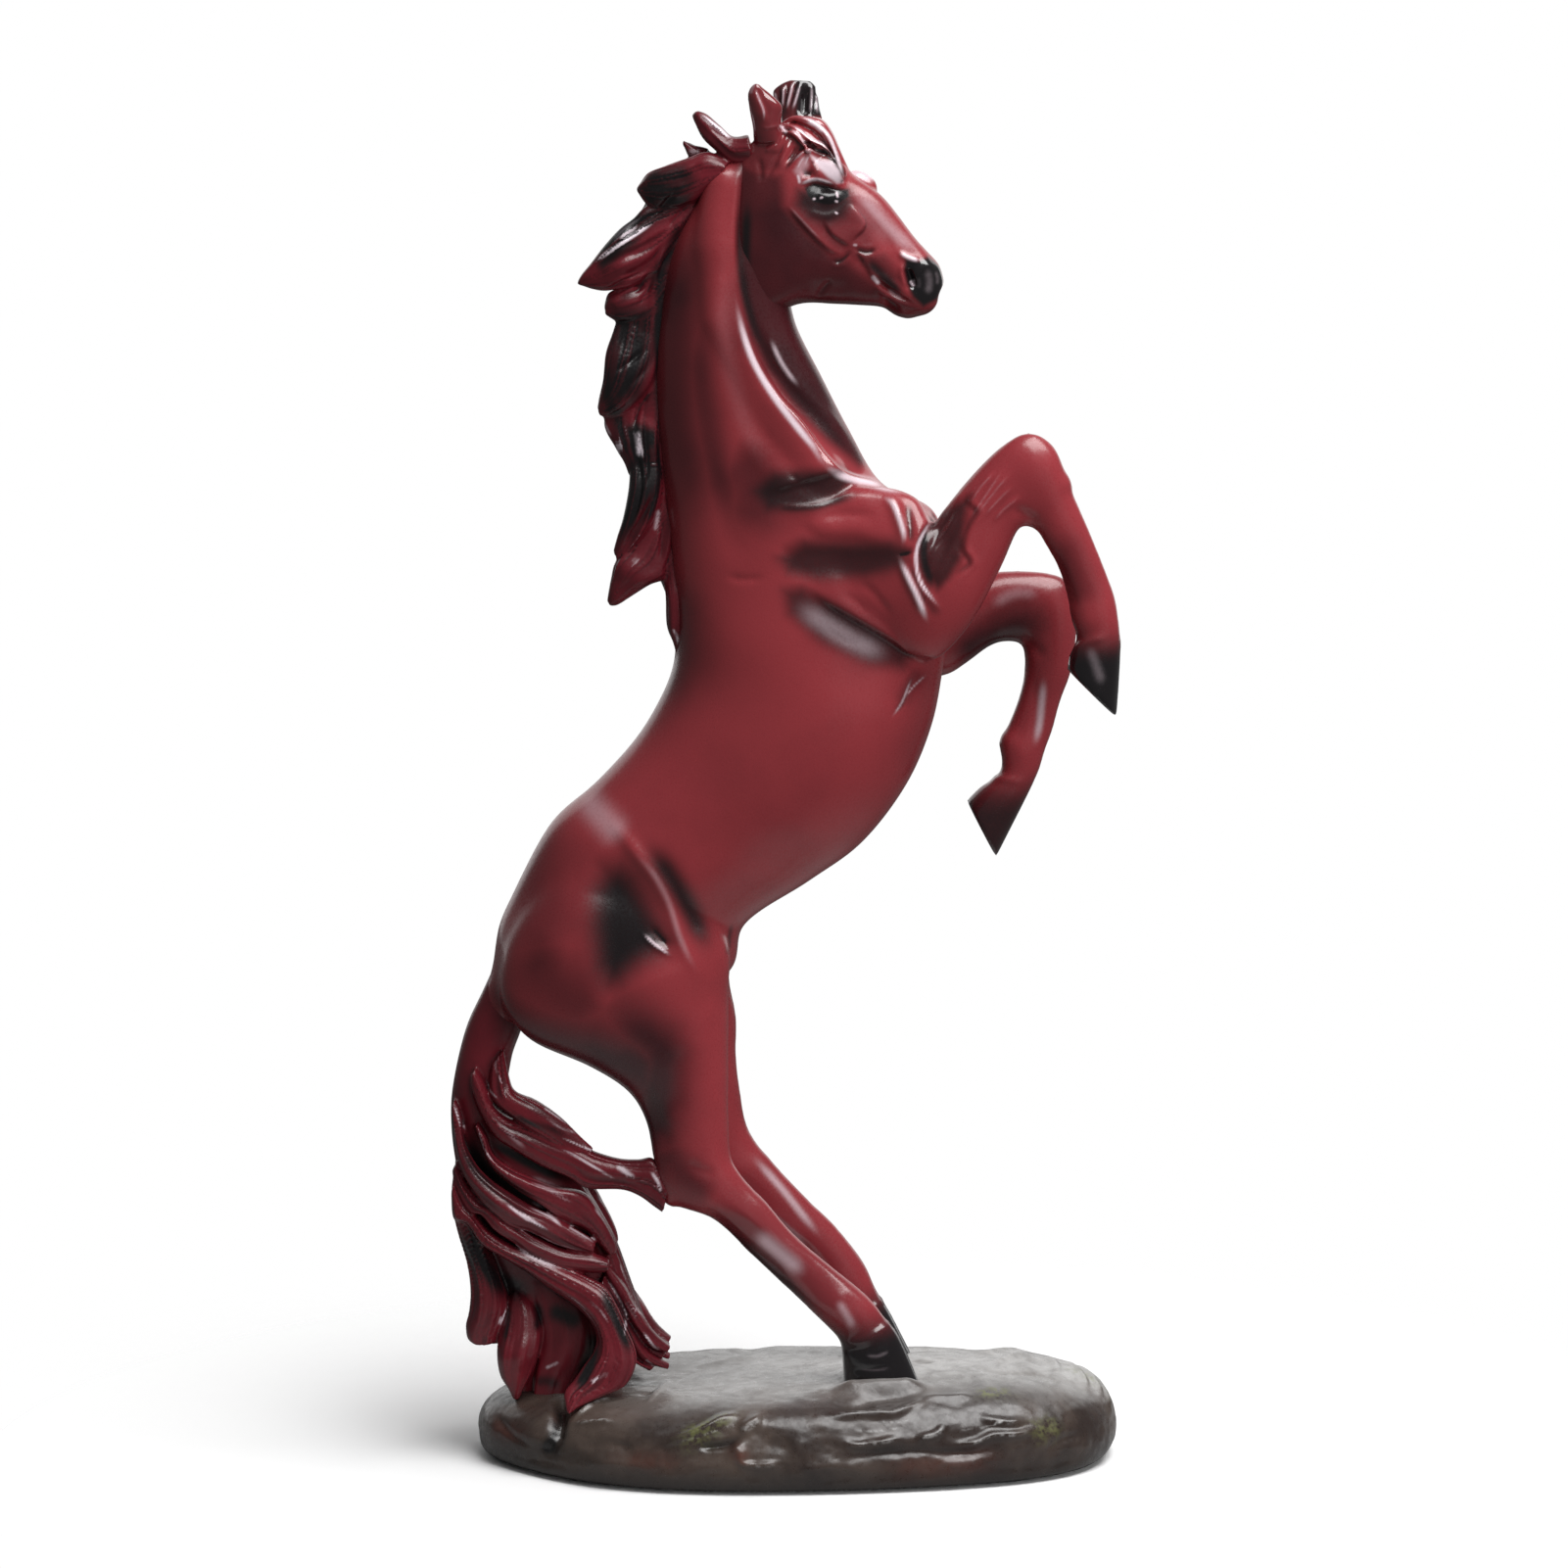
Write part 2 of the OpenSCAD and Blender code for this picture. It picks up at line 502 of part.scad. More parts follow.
module head_form() {
    difference() {
        union() {
            loft(head_stations, body_sides, 1);
            both_sides() {
                // Brow, eye, nose wing and chin
                rounded([7.4, -5.4, 280.6], [5.2, 3.1, 3.6]);
                rounded([8, -5.5, 274.6], [3.7, 3.5, 3]);
                rounded([28.5, -2.8, 259], [4.2, 3.2, 4]);
                rounded([28.6, -1.4, 253.9], [4.6, 3.4, 4.2]);
            }
        }
        both_sides() {
            // Nostril and mouth
            swelling([26.6, -6.4, 259.6], [27.8, -5.8, 256], 0.9, 0.9);
            swelling([20.5, -6.4, 256], [29, -5.2, 252], 0.5, 0.5);
        }
    }
    ears();
    for (s = forelock_strands)
        loft(strand_stations(s[0], s[1], s[2]), lock_sides, 1);
    // The left brow shows past the forehead
    rounded([16.8, 4, 278.2], [4, 2.6, 2.5]);
}

module mane_form() {
    loft(mane_stations, lock_sides * 2, 1);
    both_sides() locks(mane_locks);
    locks([poll_lock]);
}

module tail_form() {
    loft(tail_stations, lock_sides * 2, 1);
    both_sides() locks(tail_locks);
    locks(hock_locks);
}

function outline_share(level, a) =
    plinth_levels[level][1] * (1 + rock_wave * (sin(3 * a + 40) + sin(5 * a - 70)));

function plinth_point(level, a) =
    let (share = outline_share(level, a),
         high = pow(plinth_levels[level][0], 1 + rock_slope * pow(max(0, -sin(a)), 1.5)),
         drop = 1 - rock_fall * high * (1 - cos(a)))
    [plinth_middle_x + plinth_l / 2 * share * sign(cos(a)) * pow(abs(cos(a)), plinth_squareness),
     plinth_d / 2 * share * sign(sin(a)) * pow(abs(sin(a)), plinth_squareness),
     felt_t + (plinth_h - felt_t) * high * drop];

module plinth_form()
    skin([for (level = [0 : len(plinth_levels) - 1])
        [for (i = [0 : plinth_sides - 1]) plinth_point(level, 360 * i / plinth_sides)]], plinth_sides);

module hoof_sockets(d) {
    socket([hoof_rod_place[0], -hoof_rod_place[1], hoof_rod_place[2], hoof_rod_place[3],
            hoof_rod_place[4]], d);
    socket(hoof_rod_place, d);
}

module plinth()
    color(rock) difference() {
        plinth_form();
        swelling(cleft_top, cleft_foot, cleft_radii[0], cleft_radii[1]);
        hoof_sockets(rod_d);
        socket(tail_rod_place, rod_d);
    }

module felt_feet()
    color(felt)
        for (along = [-1, 1], across = [-1, 1])
            translate([plinth_middle_x + along * felt_along * plinth_l / 2,
                       across * felt_across * plinth_d / 2, 0])
                cylinder(h = felt_t, d = felt_d, $fn = felt_sides);

// The trunk carries the roots of the limbs up to their joints.
module limb_roots() {
    intersection() {
        right_fore_form();
        trunk_side(right_fore_joint, fore_reach);
    }
    intersection() {
        left_fore_form();
        trunk_side(left_fore_joint, fore_reach);
    }
    intersection() {
        union() {
            right_hind_form();
            left_hind_form();
        }
        trunk_side(thigh_joint, thigh_reach);
    }
}

module trunk_body() {
    torso_form();
    limb_roots();
}

module trunk()
    color(coat) difference() {
        trunk_body();
        socket(neck_dowel_place, dowel_d);
        socket(right_fore_dowel_place, dowel_d);
        socket(left_fore_dowel_place, dowel_d);
        both_sides() socket(thigh_dowel_place, dowel_d);
        socket(tail_dowel_place, dowel_d);
    }

module head()
    color(coat) difference() {
        head_form();
        torso_form();
        socket(neck_dowel_place, dowel_d);
    }

module right_foreleg()
    color(coat) difference() {
        right_fore_form();
        trunk_side(right_fore_joint, fore_reach);
        torso_form();
        socket(right_fore_dowel_place, dowel_d);
    }

module left_foreleg()
    color(coat) difference() {
        left_fore_form();
        trunk_side(left_fore_joint, fore_reach);
        torso_form();
        socket(left_fore_dowel_place, dowel_d);
    }

module hind_leg()
    color(coat) difference() {
        children();
        trunk_side(thigh_joint, thigh_reach);
        torso_form();
        plinth_form();
        both_sides() socket(thigh_dowel_place, dowel_d);
        hoof_sockets(rod_d);
    }

module right_hind_leg() hind_leg() right_hind_form();
module left_hind_leg() hind_leg() left_hind_form();

module mane()
    color(hair) difference() {
        mane_form();
        torso_form();
        head_form();
    }

module tail()
    color(hair) difference() {
        tail_form();
        trunk_body();
        right_hind_form();
        left_hind_form();
        plinth_form();
        socket(tail_dowel_place, dowel_d);
        socket(tail_rod_place, rod_d);
    }

module neck_dowel() color(beech) rod(neck_dowel_place, dowel_d);

module foreleg_dowels()
    color(beech) {
        rod(right_fore_dowel_place, dowel_d);
        rod(left_fore_dowel_place, dowel_d);
    }

module thigh_dowels() color(beech) both_sides() rod(thigh_dowel_place, dowel_d);
module tail_dowel() color(beech) rod(tail_dowel_place, dowel_d);
module hoof_rods() color(steel) both_sides() rod(hoof_rod_place, rod_d);
module tail_rod() color(steel) rod(tail_rod_place, rod_d);

module to_size() scale(figure_h / drawn_h) children();

to_size() plinth();
to_size() felt_feet();
to_size() trunk();
to_size() head();
to_size() mane();
to_size() right_foreleg();
to_size() left_foreleg();
to_size() right_hind_leg();
to_size() left_hind_leg();
to_size() tail();
to_size() neck_dowel();
to_size() foreleg_dowels();
to_size() thigh_dowels();
to_size() tail_dowel();
to_size() hoof_rods();
to_size() tail_rod();
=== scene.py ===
import math
import bpy
import numpy as np
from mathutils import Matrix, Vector
from mathutils.kdtree import KDTree


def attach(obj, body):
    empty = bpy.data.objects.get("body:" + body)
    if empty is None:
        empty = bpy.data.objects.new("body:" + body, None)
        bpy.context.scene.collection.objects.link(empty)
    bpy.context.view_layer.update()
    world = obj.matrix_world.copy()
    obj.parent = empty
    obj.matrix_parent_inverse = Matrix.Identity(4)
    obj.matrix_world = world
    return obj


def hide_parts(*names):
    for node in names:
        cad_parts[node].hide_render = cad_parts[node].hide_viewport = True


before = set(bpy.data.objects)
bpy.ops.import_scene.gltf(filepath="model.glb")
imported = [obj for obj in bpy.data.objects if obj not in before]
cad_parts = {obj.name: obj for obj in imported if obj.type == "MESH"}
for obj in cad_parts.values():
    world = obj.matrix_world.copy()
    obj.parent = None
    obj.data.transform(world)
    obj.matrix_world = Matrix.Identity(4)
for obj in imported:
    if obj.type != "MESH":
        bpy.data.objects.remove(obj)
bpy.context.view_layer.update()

# Sizes below are millimetres, in the frame of the part: +X is the way the horse faces, +Z is up.
mm = 0.001
# Reach in y of the whole figure, and of the limbs on the near and the far side
wholeDepth, nearDepth, farDepth = (-60, 60), (-60, -2), (2, 60)


# Forms

def refined(rows, steps):
    rows = np.array(rows, float)
    last = len(rows) - 1
    out = []
    for i in range(last):
        a, b, c, d = rows[max(i - 1, 0)], rows[i], rows[i + 1], rows[min(i + 2, last)]
        for k in range(steps):
            t = k / steps
            out.append(0.5 * (2 * b + (c - a) * t + (2 * a - 5 * b + 4 * c - d) * t * t
                              + (3 * b - a - 3 * c + d) * t ** 3))
    out.append(rows[last])
    return np.array(out)


# A form is its points, its four-sided faces and its two end faces.
def closedSkin(rings):
    count, sides = rings.shape[:2]
    points = rings.reshape(-1, 3)
    i = np.arange(sides)
    row = np.stack([i, (i + 1) % sides, (i + 1) % sides + sides, i + sides], 1)
    quads = (row[None] + (np.arange(count - 1) * sides)[:, None, None]).reshape(-1, 4)
    caps = np.stack([i[::-1], (count - 1) * sides + i])
    # The skin is turned so that it faces outwards.
    p = points[quads]
    volume = np.sum(p[:, 0] * (np.cross(p[:, 1], p[:, 2]) + np.cross(p[:, 2], p[:, 3])))
    for cap in caps:
        p = points[cap]
        volume += np.sum(p[0] * np.cross(p[1:-1], p[2:]))
    if volume < 0:
        quads, caps = quads[:, ::-1], caps[:, ::-1]
    return points, quads, list(caps)


# A station is [x and z of one edge, x and z of the other edge, y of the middle, half width, bias].
# A bias above 0 widens the half at the other edge.
# With flat below 1 the sides are fuller than an ellipse, above 1 they run out thin.
def loft(rows, sides, steps, flat=1.0):
    s = refined(rows, steps)
    a = np.linspace(0, 2 * math.pi, sides, endpoint=False)
    ca, sa = np.cos(a), np.sign(np.sin(a)) * np.abs(np.sin(a)) ** flat
    rings = np.zeros((len(s), sides, 3))
    rings[:, :, 0] = ((s[:, 0] + s[:, 2]) / 2)[:, None] + ((s[:, 2] - s[:, 0]) / 2)[:, None] * ca
    rings[:, :, 1] = s[:, 4][:, None] + s[:, 5][:, None] * sa * (1 + s[:, 6][:, None] * ca)
    rings[:, :, 2] = ((s[:, 1] + s[:, 3]) / 2)[:, None] + ((s[:, 3] - s[:, 1]) / 2)[:, None] * ca
    return closedSkin(rings)


def ball(centre, radii, sides=24):
    rings = []
    for j in range(sides // 2 + 1):
        e = math.pi * (j / (sides // 2) - 0.5)
        a = np.linspace(0, 2 * math.pi, sides, endpoint=False)
        r = max(math.cos(e), 0.02)
        rings.append(np.stack([centre[0] + radii[0] * r * np.cos(a), centre[1] + radii[1] * r * np.sin(a),
                               np.full(sides, centre[2] + radii[2] * math.sin(e))], 1))
    return closedSkin(np.array(rings))


# A muscle or bone between two points.
def swelling(a, b, ra, rb):
    a, b = np.array(a, float), np.array(b, float)
    count = max(3, int(np.linalg.norm(b - a) / (0.22 * min(ra, rb))))
    return [ball(a + (b - a) * t, [ra + (rb - ra) * t] * 3) for t in np.linspace(0, 1, count)]


def flipped(part):
    points, quads, caps = part
    return points * np.array([1, -1, 1]), quads[:, ::-1], [cap[::-1] for cap in caps]


def joined(parts):
    points, quads, caps, start = [], [], [], 0
    for p, q, c in parts:
        points.append(p)
        quads.append(q + start)
        caps.extend([cap + start for cap in c])
        start += len(p)
    return np.concatenate(points), np.concatenate(quads), caps


def makeMesh(name, points, quads, caps=()):
    mesh = bpy.data.meshes.new(name)
    corners = np.concatenate([quads.ravel(), *caps]).astype(np.int32)
    sizes = np.concatenate([np.full(len(quads), 4), [len(cap) for cap in caps]]).astype(np.int32)
    mesh.vertices.add(len(points))
    mesh.vertices.foreach_set("co", (points * mm).astype(np.float32).ravel())
    mesh.loops.add(len(corners))
    mesh.loops.foreach_set("vertex_index", corners)
    mesh.polygons.add(len(sizes))
    mesh.polygons.foreach_set("loop_start", np.concatenate([[0], np.cumsum(sizes)[:-1]]).astype(np.int32))
    mesh.update(calc_edges=True)
    mesh.validate()
    return mesh


def addObject(name, mesh):
    piece = bpy.data.objects.new(name, mesh)
    bpy.context.scene.collection.objects.link(piece)
    return piece


# One even skin over overlapping forms, as points and four-sided faces.
def evenSkin(parts, voxel):
    piece = addObject("rough", makeMesh("rough", *joined(parts)))
    remesh = piece.modifiers.new("skin", "REMESH")
    remesh.mode = "VOXEL"
    remesh.voxel_size = voxel * mm
    remesh.adaptivity = 0
    made = piece.evaluated_get(bpy.context.evaluated_depsgraph_get()).to_mesh()
    points = np.zeros(len(made.vertices) * 3)
    made.vertices.foreach_get("co", points)
    corners = np.zeros(len(made.loops), int)
    made.loops.foreach_get("vertex_index", corners)
    piece.to_mesh_clear()
    bpy.data.objects.remove(piece, do_unlink=True)
    return points.reshape(-1, 3) / mm, corners.reshape(-1, 4)


class Skin:
    def __init__(self, points, quads):
        self.points, self.quads = points, quads
        edges = np.concatenate([quads[:, [0, 1]], quads[:, [1, 2]], quads[:, [2, 3]], quads[:, [3, 0]]])
        edges.sort(axis=1)
        self.edges = np.unique(edges, axis=0)
        ends = np.concatenate([self.edges[:, 0], self.edges[:, 1]])
        self.neighbours = np.bincount(ends, minlength=len(points)).astype(float)[:, None]

    def average(self, values):
        i, j = self.edges[:, 0], self.edges[:, 1]
        n = len(self.points)
        out = np.stack([np.bincount(i, values[j, c], n) + np.bincount(j, values[i, c], n)
                        for c in range(values.shape[1])], 1)
        return out / self.neighbours

    def normals(self):
        p = self.points[self.quads]
        n = np.cross(p[:, 2] - p[:, 0], p[:, 3] - p[:, 1])
        out = np.stack([sum(np.bincount(self.quads[:, k], n[:, c], len(self.points)) for k in range(4))
                        for c in range(3)], 1)
        return out / np.maximum(np.linalg.norm(out, axis=1), 1e-9)[:, None]

    def smooth(self, rounds, share=None):
        weight = 0.5 if share is None else 0.5 * share[:, None]
        for _ in range(rounds):
            self.points = self.points + weight * (self.average(self.points) - self.points)

    # Evens out a painted value.
    def spread(self, values, rounds):
        for _ in range(rounds):
            values = 0.5 * values + 0.5 * self.average(values[:, None])[:, 0]
        return values

    # Above 0 on ridges and below 0 in creases.
    def relief(self, rounds):
        spread = self.points
        for _ in range(rounds):
            spread = spread + 0.5 * (self.average(spread) - spread)
        return np.sum((self.points - spread) * self.normals(), axis=1)


def softStep(low, high, value):
    t = np.clip((value - low) / (high - low), 0, 1)
    return t * t * (3 - 2 * t)


# Distance from a line in the x-z plane, and the share of the line's length at the nearest point.
def fromLine(flat, line):
    lengths = np.linalg.norm(line[1:] - line[:-1], axis=1)
    total, run = max(lengths.sum(), 1e-6), 0.0
    best, share = np.full(len(flat), 1e9), np.zeros(len(flat))
    for k in range(len(lengths)):
        a, way = line[k], line[k + 1] - line[k]
        t = np.clip(((flat - a) @ way) / max(way @ way, 1e-9), 0, 1)
        d = np.linalg.norm(flat - a - t[:, None] * way, axis=1)
        closer = d < best
        best = np.where(closer, d, best)
        share = np.where(closer, (run + t * lengths[k]) / total, share)
        run += lengths[k]
    return best, share


markForm = {
    # Steps between two points of a line, share of its length over which an end fades, what is left there
    "steps": 6, "ends": 0.3, "left": (0.1, 0.9),
    # A fold is this steep, and levels out over so many widths.
    "steep": 2, "level": 4.5,
    # Marks fade where the skin turns away from the side that they are drawn on.
    "facing": (-0.05, 0.4),
}


def facing(normals, side):
    way = np.abs(normals[:, 1]) if side == "both" else -normals[:, 1]
    return softStep(*markForm["facing"], way)


def endFade(share, full=1):
    return full * softStep(0, markForm["ends"], share) * softStep(0, markForm["ends"], 1 - share)


# How strongly a soft line marks each point of a skin.
def stroke(flat, line, width):
    if len(line) == 2:
        return np.exp(-(fromLine(flat, line)[0] / width) ** 2)
    d, share = fromLine(flat, refined(line, markForm["steps"]))
    least, rest = markForm["left"]
    return np.exp(-(d / width) ** 2) * (least + endFade(share, rest))


# A fold stands up on the left of its line and lies low on the right, looking along it.
def fold(flat, line, width):
    fine = refined(line, markForm["steps"])
    d, share = fromLine(flat, fine)
    best, sign = np.full(len(flat), 1e9), np.zeros(len(flat))
    for a, b in zip(fine[:-1], fine[1:]):
        near = np.linalg.norm(flat - (a + b) / 2, axis=1)
        turn = (b[0] - a[0]) * (flat[:, 1] - a[1]) - (b[1] - a[1]) * (flat[:, 0] - a[0])
        sign = np.where(near < best, np.sign(turn), sign)
        best = np.minimum(best, near)
    step = np.tanh(markForm["steep"] * sign * d / width)
    return step * np.exp(-(d / (markForm["level"] * width)) ** 2) * endFade(share)


# A patch fills its outline and fades out over its width.
def patch(flat, outline, width):
    ring = np.concatenate([outline, outline[:1]])
    d, _ = fromLine(flat, ring)
    within = np.zeros(len(flat), bool)
    for a, b in zip(ring[:-1], ring[1:]):
        if a[1] != b[1]:
            across = a[0] + (flat[:, 1] - a[1]) * (b[0] - a[0]) / (b[1] - a[1])
            within ^= ((a[1] > flat[:, 1]) != (b[1] > flat[:, 1])) & (flat[:, 0] < across)
    return softStep(-width, width, np.where(within, d, -d))


# A line is written as the x and z of its points in turn.
def linePoints(numbers):
    return np.array(numbers, float).reshape(-1, 2)


# Rows are [line, amount, width]. A kind of mark reaches so many widths beyond its line.
def marks(skin, rows, side, depths, kind):
    points, normals = skin.points, skin.normals()
    reach = {stroke: 2.6, fold: 12, patch: 1}[kind]
    for numbers, amount, width in rows:
        line = linePoints(numbers)
        low, high = line.min(0) - reach * width - 1, line.max(0) + reach * width + 1
        least, most = (low[0], depths[0], low[1]), (high[0], depths[1], high[1])
        near = np.nonzero(np.all((points > least) & (points < most), axis=1))[0]
        if len(near):
            strength = kind(points[near][:, [0, 2]], line, width)
            yield near, amount * strength * facing(normals[near], side)


def carve(skin, rows, side, depths=wholeDepth, kind=stroke):
    normals = skin.normals()
    moved = skin.points.copy()
    for near, amount in marks(skin, rows, side, depths, kind):
        moved[near] += normals[near] * amount[:, None]
    skin.points = moved


def paint(skin, values, rows, side, depths=wholeDepth, kind=stroke):
    for near, amount in marks(skin, rows, side, depths, kind):
        values[near] = np.maximum(values[near], amount)


# Even random lumps between -1 and 1, the same in every run
hashSteps = (374761393, 668265263, 1103515245, 1274126177)
hashMask = 0xffffffff


def stoneNoise(points, size, seed):
    p = points / size
    cell = np.floor(p).astype(np.int64)
    f = p - cell
    f = f * f * (3 - 2 * f)
    total = np.zeros(len(points))
    for corner in np.ndindex(2, 2, 2):
        h = sum((cell[:, k] + corner[k]) * hashSteps[k] for k in range(3))
        h = (h + seed * hashSteps[3]) & hashMask
        h = ((h ^ (h >> 13)) * hashSteps[3]) & hashMask
        value = ((h ^ (h >> 16)) & 0xffff) / 32767.5 - 1
        for k in range(3):
            value = value * (f[:, k] if corner[k] else 1 - f[:, k])
        total += value
    return total


# The painted layers go with the mesh as values of its points.
def skinMesh(name, skin, layers):
    mesh = makeMesh(name, skin.points, skin.quads)
    for layer, values in layers.items():
        attribute = mesh.attributes.new(layer, "FLOAT", "POINT")
        attribute.data.foreach_set("value", np.ascontiguousarray(values, dtype=np.float32))
    mesh.shade_smooth()
    return mesh


# Materials

class Nodes:
    def __init__(self, name):
        self.material = bpy.data.materials.new(name)
        self.material.use_nodes = True
        self.tree = self.material.node_tree
        self.tree.nodes.clear()

    def add(self, kind, settings=None, **sockets):
        node = self.tree.nodes.new(kind)
        for key, value in (settings or {}).items():
            setattr(node, key, value)
        for key, value in sockets.items():
            self.put(node.inputs[key.replace("_", " ")], value)
        return node

    def put(self, socket, value):
        if isinstance(value, bpy.types.NodeSocket):
            self.tree.links.new(value, socket)
        else:
            socket.default_value = value

    def layer(self, name):
        return self.add("ShaderNodeAttribute", {"attribute_name": name}).outputs["Fac"]

    def noise(self, scale, detail, roughness=0.55, distortion=0.0):
        place = self.add("ShaderNodeTexCoord").outputs["Object"]
        made = self.add("ShaderNodeTexNoise", Vector=place, Scale=scale, Detail=detail,
                        Roughness=roughness, Distortion=distortion)
        return made.outputs["Fac"]

    def span(self, value, fromLow, fromHigh, toLow, toHigh):
        node = self.add("ShaderNodeMapRange", {"interpolation_type": "SMOOTHSTEP"})
        for socket, given in zip(node.inputs, (value, fromLow, fromHigh, toLow, toHigh)):
            self.put(socket, given)
        return node.outputs[0]

    def calc(self, kind, a, b):
        node = self.add("ShaderNodeMath", {"operation": kind})
        self.put(node.inputs[0], a)
        self.put(node.inputs[1], b)
        return node.outputs[0]

    def mix(self, share, a, b):
        node = self.add("ShaderNodeMix", {"data_type": "RGBA"})
        self.put(node.inputs[0], share)
        self.put(node.inputs[6], a)
        self.put(node.inputs[7], b)
        return node.outputs[2]

    def bump(self, height, strength, distance):
        return self.add("ShaderNodeBump", Height=height, Strength=strength, Distance=distance).outputs[0]

    def finish(self, **sockets):
        shader = self.add("ShaderNodeBsdfPrincipled", **sockets)
        out = self.add("ShaderNodeOutputMaterial")
        self.tree.links.new(shader.outputs[0], out.inputs[0])
        return self.material


def tone(red, green, blue):
    def linear(v):
        v /= 255
        return v / 12.92 if v <= 0.04045 else ((v + 0.055) / 1.055) ** 2.4
    return (linear(red), linear(green), linear(blue), 1)


coatLook = {
    "red": tone(143, 50, 56), "deep": tone(58, 19, 24), "highlight": tone(222, 202, 210),
    "black": tone(21, 18, 20), "cloud": 45, "grain": 1500, "roughness": (0.25, 0.35), "ior": 1.5,
    "clearCoat": (0.2, 0.8), "clearRoughness": 0.12, "bump": (0.1, 0.0002)}


def coatMaterial():
    n = Nodes("coat_paint")
    cloud = n.noise(coatLook["cloud"], 3)
    grain = n.noise(coatLook["grain"], 3)
    relief = n.layer("relief")
    # Darker red where the deep layer is painted, mostly as painted shade, and in random clouds
    dark = n.calc("ADD", n.layer("deep"), n.span(cloud, 0.4, 0.7, 0, 0.16))
    colour = n.mix(n.calc("MINIMUM", dark, 1.0), coatLook["red"], coatLook["deep"])
    # Creases are darker red: painted shade.
    colour = n.mix(n.span(relief, -0.06, -0.4, 0, 0.8), colour, coatLook["deep"])
    # Airbrushed black, broken up by the grain of the spray
    spray = n.calc("ADD", n.layer("black"), n.calc("MULTIPLY", n.calc("SUBTRACT", grain, 0.5), 0.1))
    colour = n.mix(n.span(spray, 0.02, 1.0, 0, 1), colour, coatLook["black"])
    # Painted highlights on raised edges, broken up by the grain.
    highlightShare = n.calc("ADD", n.layer("highlight"), n.calc("MULTIPLY", n.calc("SUBTRACT", grain, 0.5), 0.06))
    colour = n.mix(n.span(highlightShare, 0.04, 1.0, 0, 1), colour, coatLook["highlight"])
    # Polished places are smoother and carry more clear coat.
    shine = n.layer("shine")
    rough = n.calc("MULTIPLY", n.span(grain, 0.3, 0.7, *coatLook["roughness"]), n.span(shine, 0, 1, 1, 0.5))
    return n.finish(Base_Color=colour, Roughness=rough, IOR=coatLook["ior"],
                    Coat_Weight=n.span(shine, 0, 1, *coatLook["clearCoat"]),
                    Coat_Roughness=coatLook["clearRoughness"], Normal=n.bump(grain, *coatLook["bump"]))


hairLook = {
    "red": tone(106, 27, 37), "deep": tone(38, 11, 16), "highlight": tone(226, 212, 220),
    "black": tone(16, 13, 15), "cloud": 60, "grain": 1800, "roughness": (0.28, 0.38), "ior": 1.5,
    "clearCoat": 0.1, "clearRoughness": 0.16, "bump": (0.1, 0.0002)}


def hairMaterial():
    n = Nodes("hair_paint")
    cloud = n.noise(hairLook["cloud"], 3)
    grain = n.noise(hairLook["grain"], 3)
    relief, strand = n.layer("relief"), n.layer("strand")
    colour = n.mix(n.span(cloud, 0.35, 0.65, 0, 0.35), hairLook["red"], hairLook["deep"])
    # Troughs between the strands and creases are darker: painted shade.
    colour = n.mix(n.span(strand, 0.2, -0.8, 0, 0.6), colour, hairLook["deep"])
    colour = n.mix(n.span(relief, -0.02, -0.2, 0, 0.92), colour, hairLook["deep"])
    # Black paint, partly painted shade, and painted highlights both run along the strands.
    spray = n.calc("MULTIPLY", n.layer("black"), n.span(strand, -0.7, 0.7, 1.2, 0.78))
    colour = n.mix(n.span(spray, 0.05, 0.95, 0, 1), colour, hairLook["black"])
    edges = n.calc("MAXIMUM", n.layer("highlight"), n.span(relief, 0.15, 0.5, 0, 0.2))
    lit = n.calc("MULTIPLY", strand, n.span(cloud, 0.45, 0.6, 0, 1))
    edges = n.calc("MAXIMUM", edges, n.span(lit, 0.5, 0.95, 0, 0.5))
    strandGrain = n.calc("ADD", strand, n.calc("MULTIPLY", grain, 0.6))
    highlightShare = n.calc("MULTIPLY", edges, n.span(strandGrain, -0.2, 0.6, 0.35, 1.15))
    colour = n.mix(n.span(highlightShare, 0.08, 0.95, 0, 1), colour, hairLook["highlight"])
    return n.finish(Base_Color=colour, Roughness=n.span(grain, 0.3, 0.7, *hairLook["roughness"]),
                    IOR=hairLook["ior"], Coat_Weight=hairLook["clearCoat"],
                    Coat_Roughness=hairLook["clearRoughness"], Normal=n.bump(grain, *hairLook["bump"]))


rockLook = {
    "stone": tone(80, 68, 61), "dark": tone(46, 37, 34), "highlight": tone(196, 195, 194),
    "crown": tone(160, 158, 156), "earth": tone(84, 48, 40), "moss": tone(112, 116, 66),
    "black": tone(20, 18, 18), "cloud": 35, "grain": 700, "streak": 140, "roughness": (0.26, 0.42),
    "ior": 1.5, "clearCoat": 0.2, "clearRoughness": 0.2, "bump": (0.2, 0.0003)}


